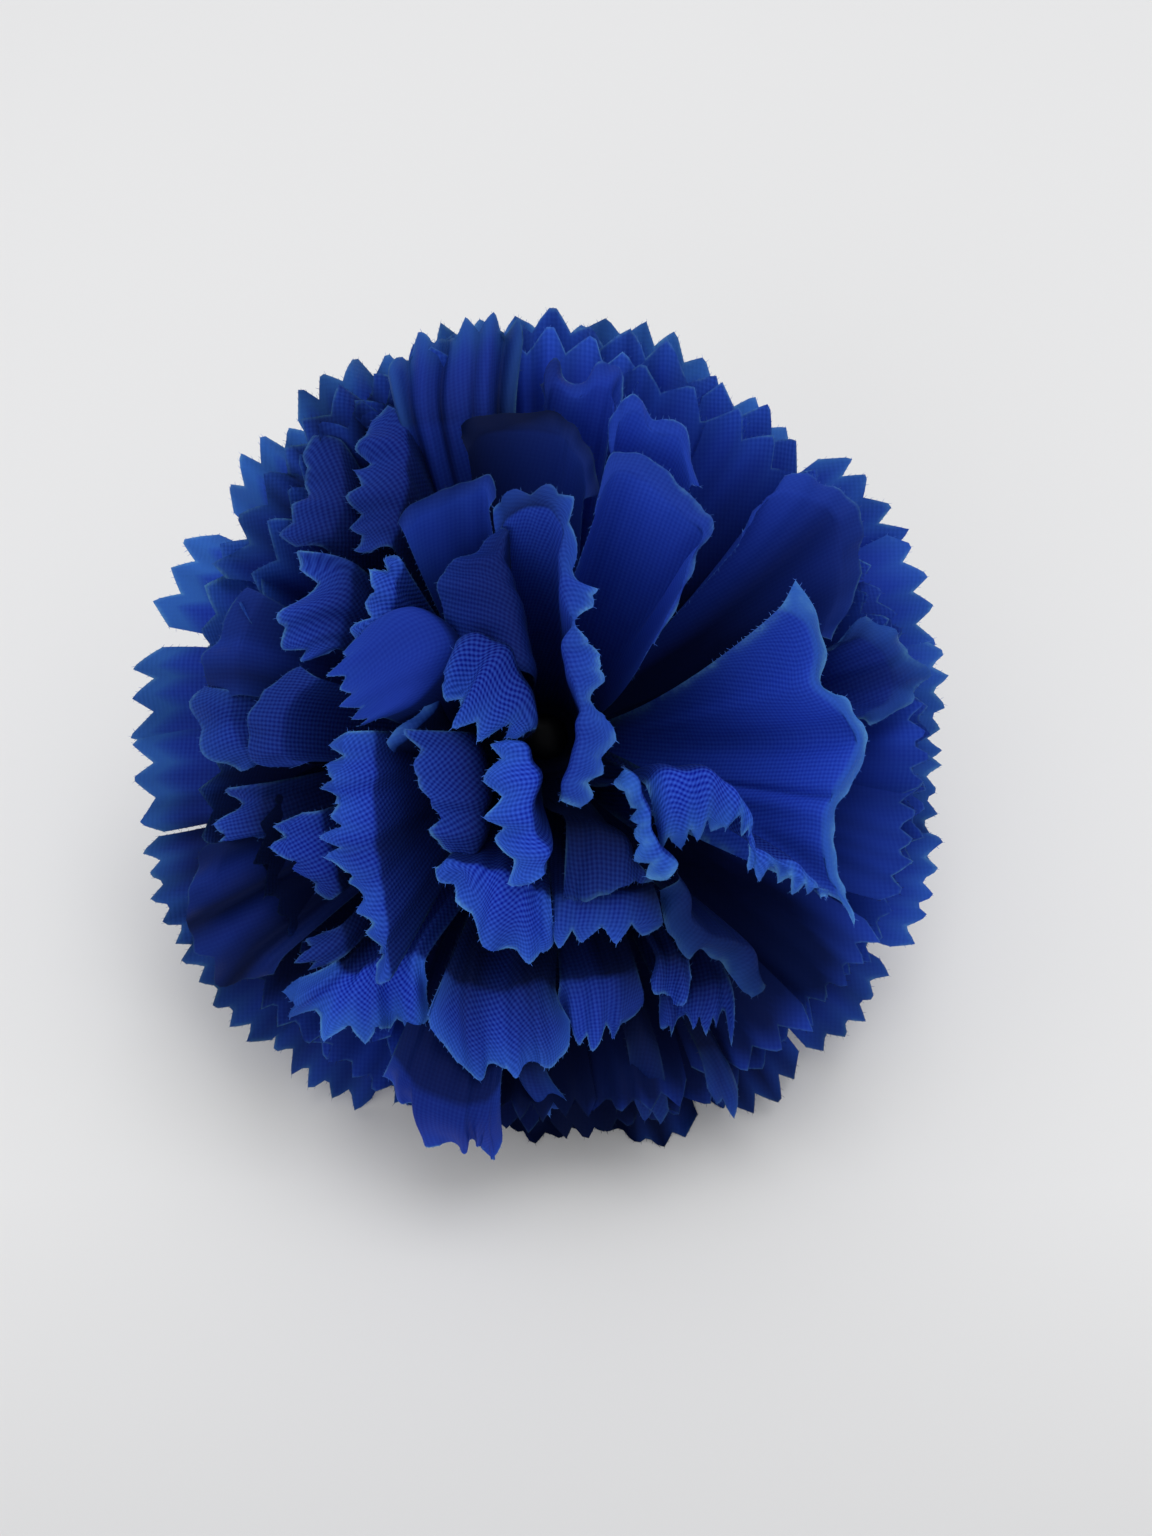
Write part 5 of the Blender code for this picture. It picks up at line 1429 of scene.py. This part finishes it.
class CARNATION_OT_threads(bpy.types.Operator):
    """Set loose threads along every cut edge"""

    bl_idname = "carnation.threads"
    bl_label = "Loose threads"

    def execute(self, context):
        settings = context.scene.carnation_cloth
        material = thread_material("loose_thread", settings)
        tree = thread_tree(material)
        for number, (node, cloth) in enumerate(disc_cloths(settings).items(), 1):
            name = f"edge_threads_{number}"
            piece = add_object(name, cloth.cut_mesh(name))
            modifier = piece.modifiers.new("threads", "NODES")
            modifier.node_group = tree
            set_input(modifier, "Spacing", MM / settings.threads_per_mm)
            set_input(modifier, "Length", settings.thread_length)
            set_input(modifier, "Seed", settings.seed + number)
            frozen(piece)
            for vertex in piece.data.vertices:
                vertex.co.z = max(vertex.co.z, 0)
            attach(piece, "root")
        return {"FINISHED"}


class CARNATION_OT_peg(bpy.types.Operator):
    """Make the peg with its domed head"""

    bl_idname = "carnation.peg"
    bl_label = "Peg"

    def execute(self, context):
        settings = context.scene.carnation_plastic
        last = len(OUTER_DISCS) + len(INNER_DISCS) - 1
        under = last * HUB_STEP + CLOTH_THICKNESS / 2 + SEAT_GAP
        rows = [(PIN_FOOT, PIN_RADIUS - PIN_CHAMFER), (PIN_FOOT + CHAMFER_LENGTH, PIN_RADIUS)]
        rows += [(under, PIN_RADIUS), (under, HEAD_RADIUS - HEAD_LIP), (under + HEAD_LIP, HEAD_RADIUS)]
        for degrees in range(0, 84, 12):
            lean = math.radians(degrees)
            rows.append((under + HEAD_SIDE + HEAD_DOME * math.sin(lean), HEAD_RADIUS * math.cos(lean)))
        mesh = turned_mesh("peg_pin", rows, PEG_SIDES)
        skin = plastic_material("peg_plastic_skin", settings.peg_colour, 0.5)
        piece = add_object("peg_pin", mesh, skin)
        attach(piece, "root")
        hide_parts("peg")
        return {"FINISHED"}


class CARNATION_OT_calyx(bpy.types.Operator):
    """Make the calyx with its sepals, ribs and stub"""

    bl_idname = "carnation.calyx"
    bl_label = "Calyx"

    def execute(self, context):
        settings = context.scene.carnation_plastic
        profile = np.array(CALYX_PROFILE[::-1])
        smooth = along(profile, np.linspace(0, 1, CALYX_RINGS))
        stub_end = FLOOR + STUB_RADIUS - STUB_DIP
        root, under, over = (CALYX_TOP - level for level in SEPAL_LEVELS)
        hole = PIN_RADIUS + SEAT_GAP
        rows = [(stub_end, STUB_RADIUS), (STUB_TOP, STUB_RADIUS)]
        rows += [tuple(row) for row in smooth]
        rows += [(root, SEPAL_WAIST), (under, SEPAL_RADIUS), (over, SEPAL_RADIUS)]
        rows += [(CALYX_TOP, SEPAL_WAIST), (CALYX_TOP, hole), (PIN_FOOT - SEAT_GAP, hole)]
        sepal_rows = (len(rows) - 5, len(rows) - 4)
        body_rows = range(2, 2 + len(smooth))

        def outline(number, turns):
            radius = rows[number][1]
            if number in sepal_rows:
                point = np.abs(np.cos(SEPALS * turns / 2)) ** SEPAL_TAPER
                return SEPAL_WAIST + (radius - SEPAL_WAIST) * point
            if number in body_rows:
                return radius + CALYX_RIB * np.cos(SEPALS * 4 * turns) * min(1, radius / RIB_FULL)
            return np.full(len(turns), radius)

        mesh = turned_mesh("calyx_cup", rows, CALYX_SIDES, outline)
        skin = plastic_material("green_plastic_skin", settings.calyx_colour, 0.42)
        piece = add_object("calyx_cup", mesh, skin)
        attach(piece, "root")
        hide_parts("calyx")
        return {"FINISHED"}


class CARNATION_OT_stage(bpy.types.Operator):
    """Set up the plain floor, the soft lights and the camera"""

    bl_idname = "carnation.stage"
    bl_label = "Stage"

    def execute(self, context):
        settings = context.scene.carnation_stage
        scene = context.scene
        bpy.ops.mesh.primitive_plane_add(size=4, location=(0, 0, 0))
        floor = context.object
        floor.name = "plain_floor"
        floor.data.materials.append(floor_material("pale_card", settings))
        world = bpy.data.worlds.new("soft_sky")
        world.use_nodes = True
        background = world.node_tree.nodes["Background"]
        background.inputs[0].default_value = SKY_COLOUR
        background.inputs[1].default_value = settings.sky
        scene.world = world
        self.lamp("front_left_light", KEY_PLACE, settings.key)
        self.lamp("overhead_light", TOP_PLACE, settings.top)
        self.camera(scene)
        scene.view_settings.view_transform = "Standard"
        return {"FINISHED"}

    def lamp(self, name, place, power):
        """A square soft light that looks at the bloom."""
        light = bpy.data.lights.new(name, "AREA")
        light.size = LAMP_SIZE
        light.energy = power
        made = bpy.data.objects.new(name, light)
        bpy.context.scene.collection.objects.link(made)
        target = to_world((0, 0, RIM_PLANE))
        back = unit(np.array(place) - target)
        right = unit(np.cross((0, 1, 0.001), back))
        up = np.cross(back, right)
        made.matrix_world = turned_to(right, up, back, place)

    def camera(self, scene):
        """The camera looks along the bloom's axis at the photograph's distance."""
        camera = bpy.data.cameras.new("front_camera")
        camera.sensor_fit = "VERTICAL"
        camera.sensor_height = SENSOR_HIGH
        camera.lens = SENSOR_HIGH * EYE / (PICTURE_HIGH * PIXEL)
        camera.clip_start = 0.01
        made = bpy.data.objects.new("front_camera", camera)
        scene.collection.objects.link(made)
        right = np.array([1.0, 0, 0])
        up = np.array([0, math.sin(FACE_TILT), math.cos(FACE_TILT)])
        back = np.array([0, -math.cos(FACE_TILT), math.sin(FACE_TILT)])
        place = to_world((CAMERA_RIGHT, CAMERA_UP, RIM_PLANE + EYE))
        made.matrix_world = turned_to(right, up, back, place)
        scene.camera = made


def turned_to(right, up, back, place):
    """The matrix of a lamp or camera at a place, from its own three directions."""
    matrix = Matrix([[right[i], up[i], back[i]] for i in range(3)]).to_4x4()
    matrix.translation = place
    return matrix


class CARNATION_PT_panel(bpy.types.Panel):
    """Lists the settings and the steps"""

    bl_label = "Carnation"
    bl_idname = "CARNATION_PT_panel"
    bl_space_type = "VIEW_3D"
    bl_region_type = "UI"
    bl_category = "Carnation"

    def draw(self, context):
        layout = self.layout
        for label in SETTINGS:
            group = getattr(context.scene, label)
            box = layout.box()
            for name in group.bl_rna.properties.keys():
                if name not in ("rna_type", "name"):
                    box.prop(group, name)
        for operator in OPERATORS:
            layout.operator(operator.bl_idname)


OPERATORS = (
    CARNATION_OT_cloth, CARNATION_OT_peg, CARNATION_OT_calyx, CARNATION_OT_threads, CARNATION_OT_stage,
)
SETTINGS = {
    "carnation_cloth": ClothSettings,
    "carnation_plastic": PlasticSettings,
    "carnation_stage": StageSettings,
}


def register():
    for name, group in SETTINGS.items():
        bpy.utils.register_class(group)
        setattr(bpy.types.Scene, name, PointerProperty(type=group))
    for operator in OPERATORS:
        bpy.utils.register_class(operator)
    bpy.utils.register_class(CARNATION_PT_panel)


def unregister():
    bpy.utils.unregister_class(CARNATION_PT_panel)
    for operator in reversed(OPERATORS):
        bpy.utils.unregister_class(operator)
    for name, group in reversed(SETTINGS.items()):
        delattr(bpy.types.Scene, name)
        bpy.utils.unregister_class(group)


def main():
    register()
    bpy.ops.carnation.cloth()
    bpy.ops.carnation.peg()
    bpy.ops.carnation.calyx()
    bpy.ops.carnation.threads()
    bpy.ops.carnation.stage()


if __name__ == "__main__":
    main()
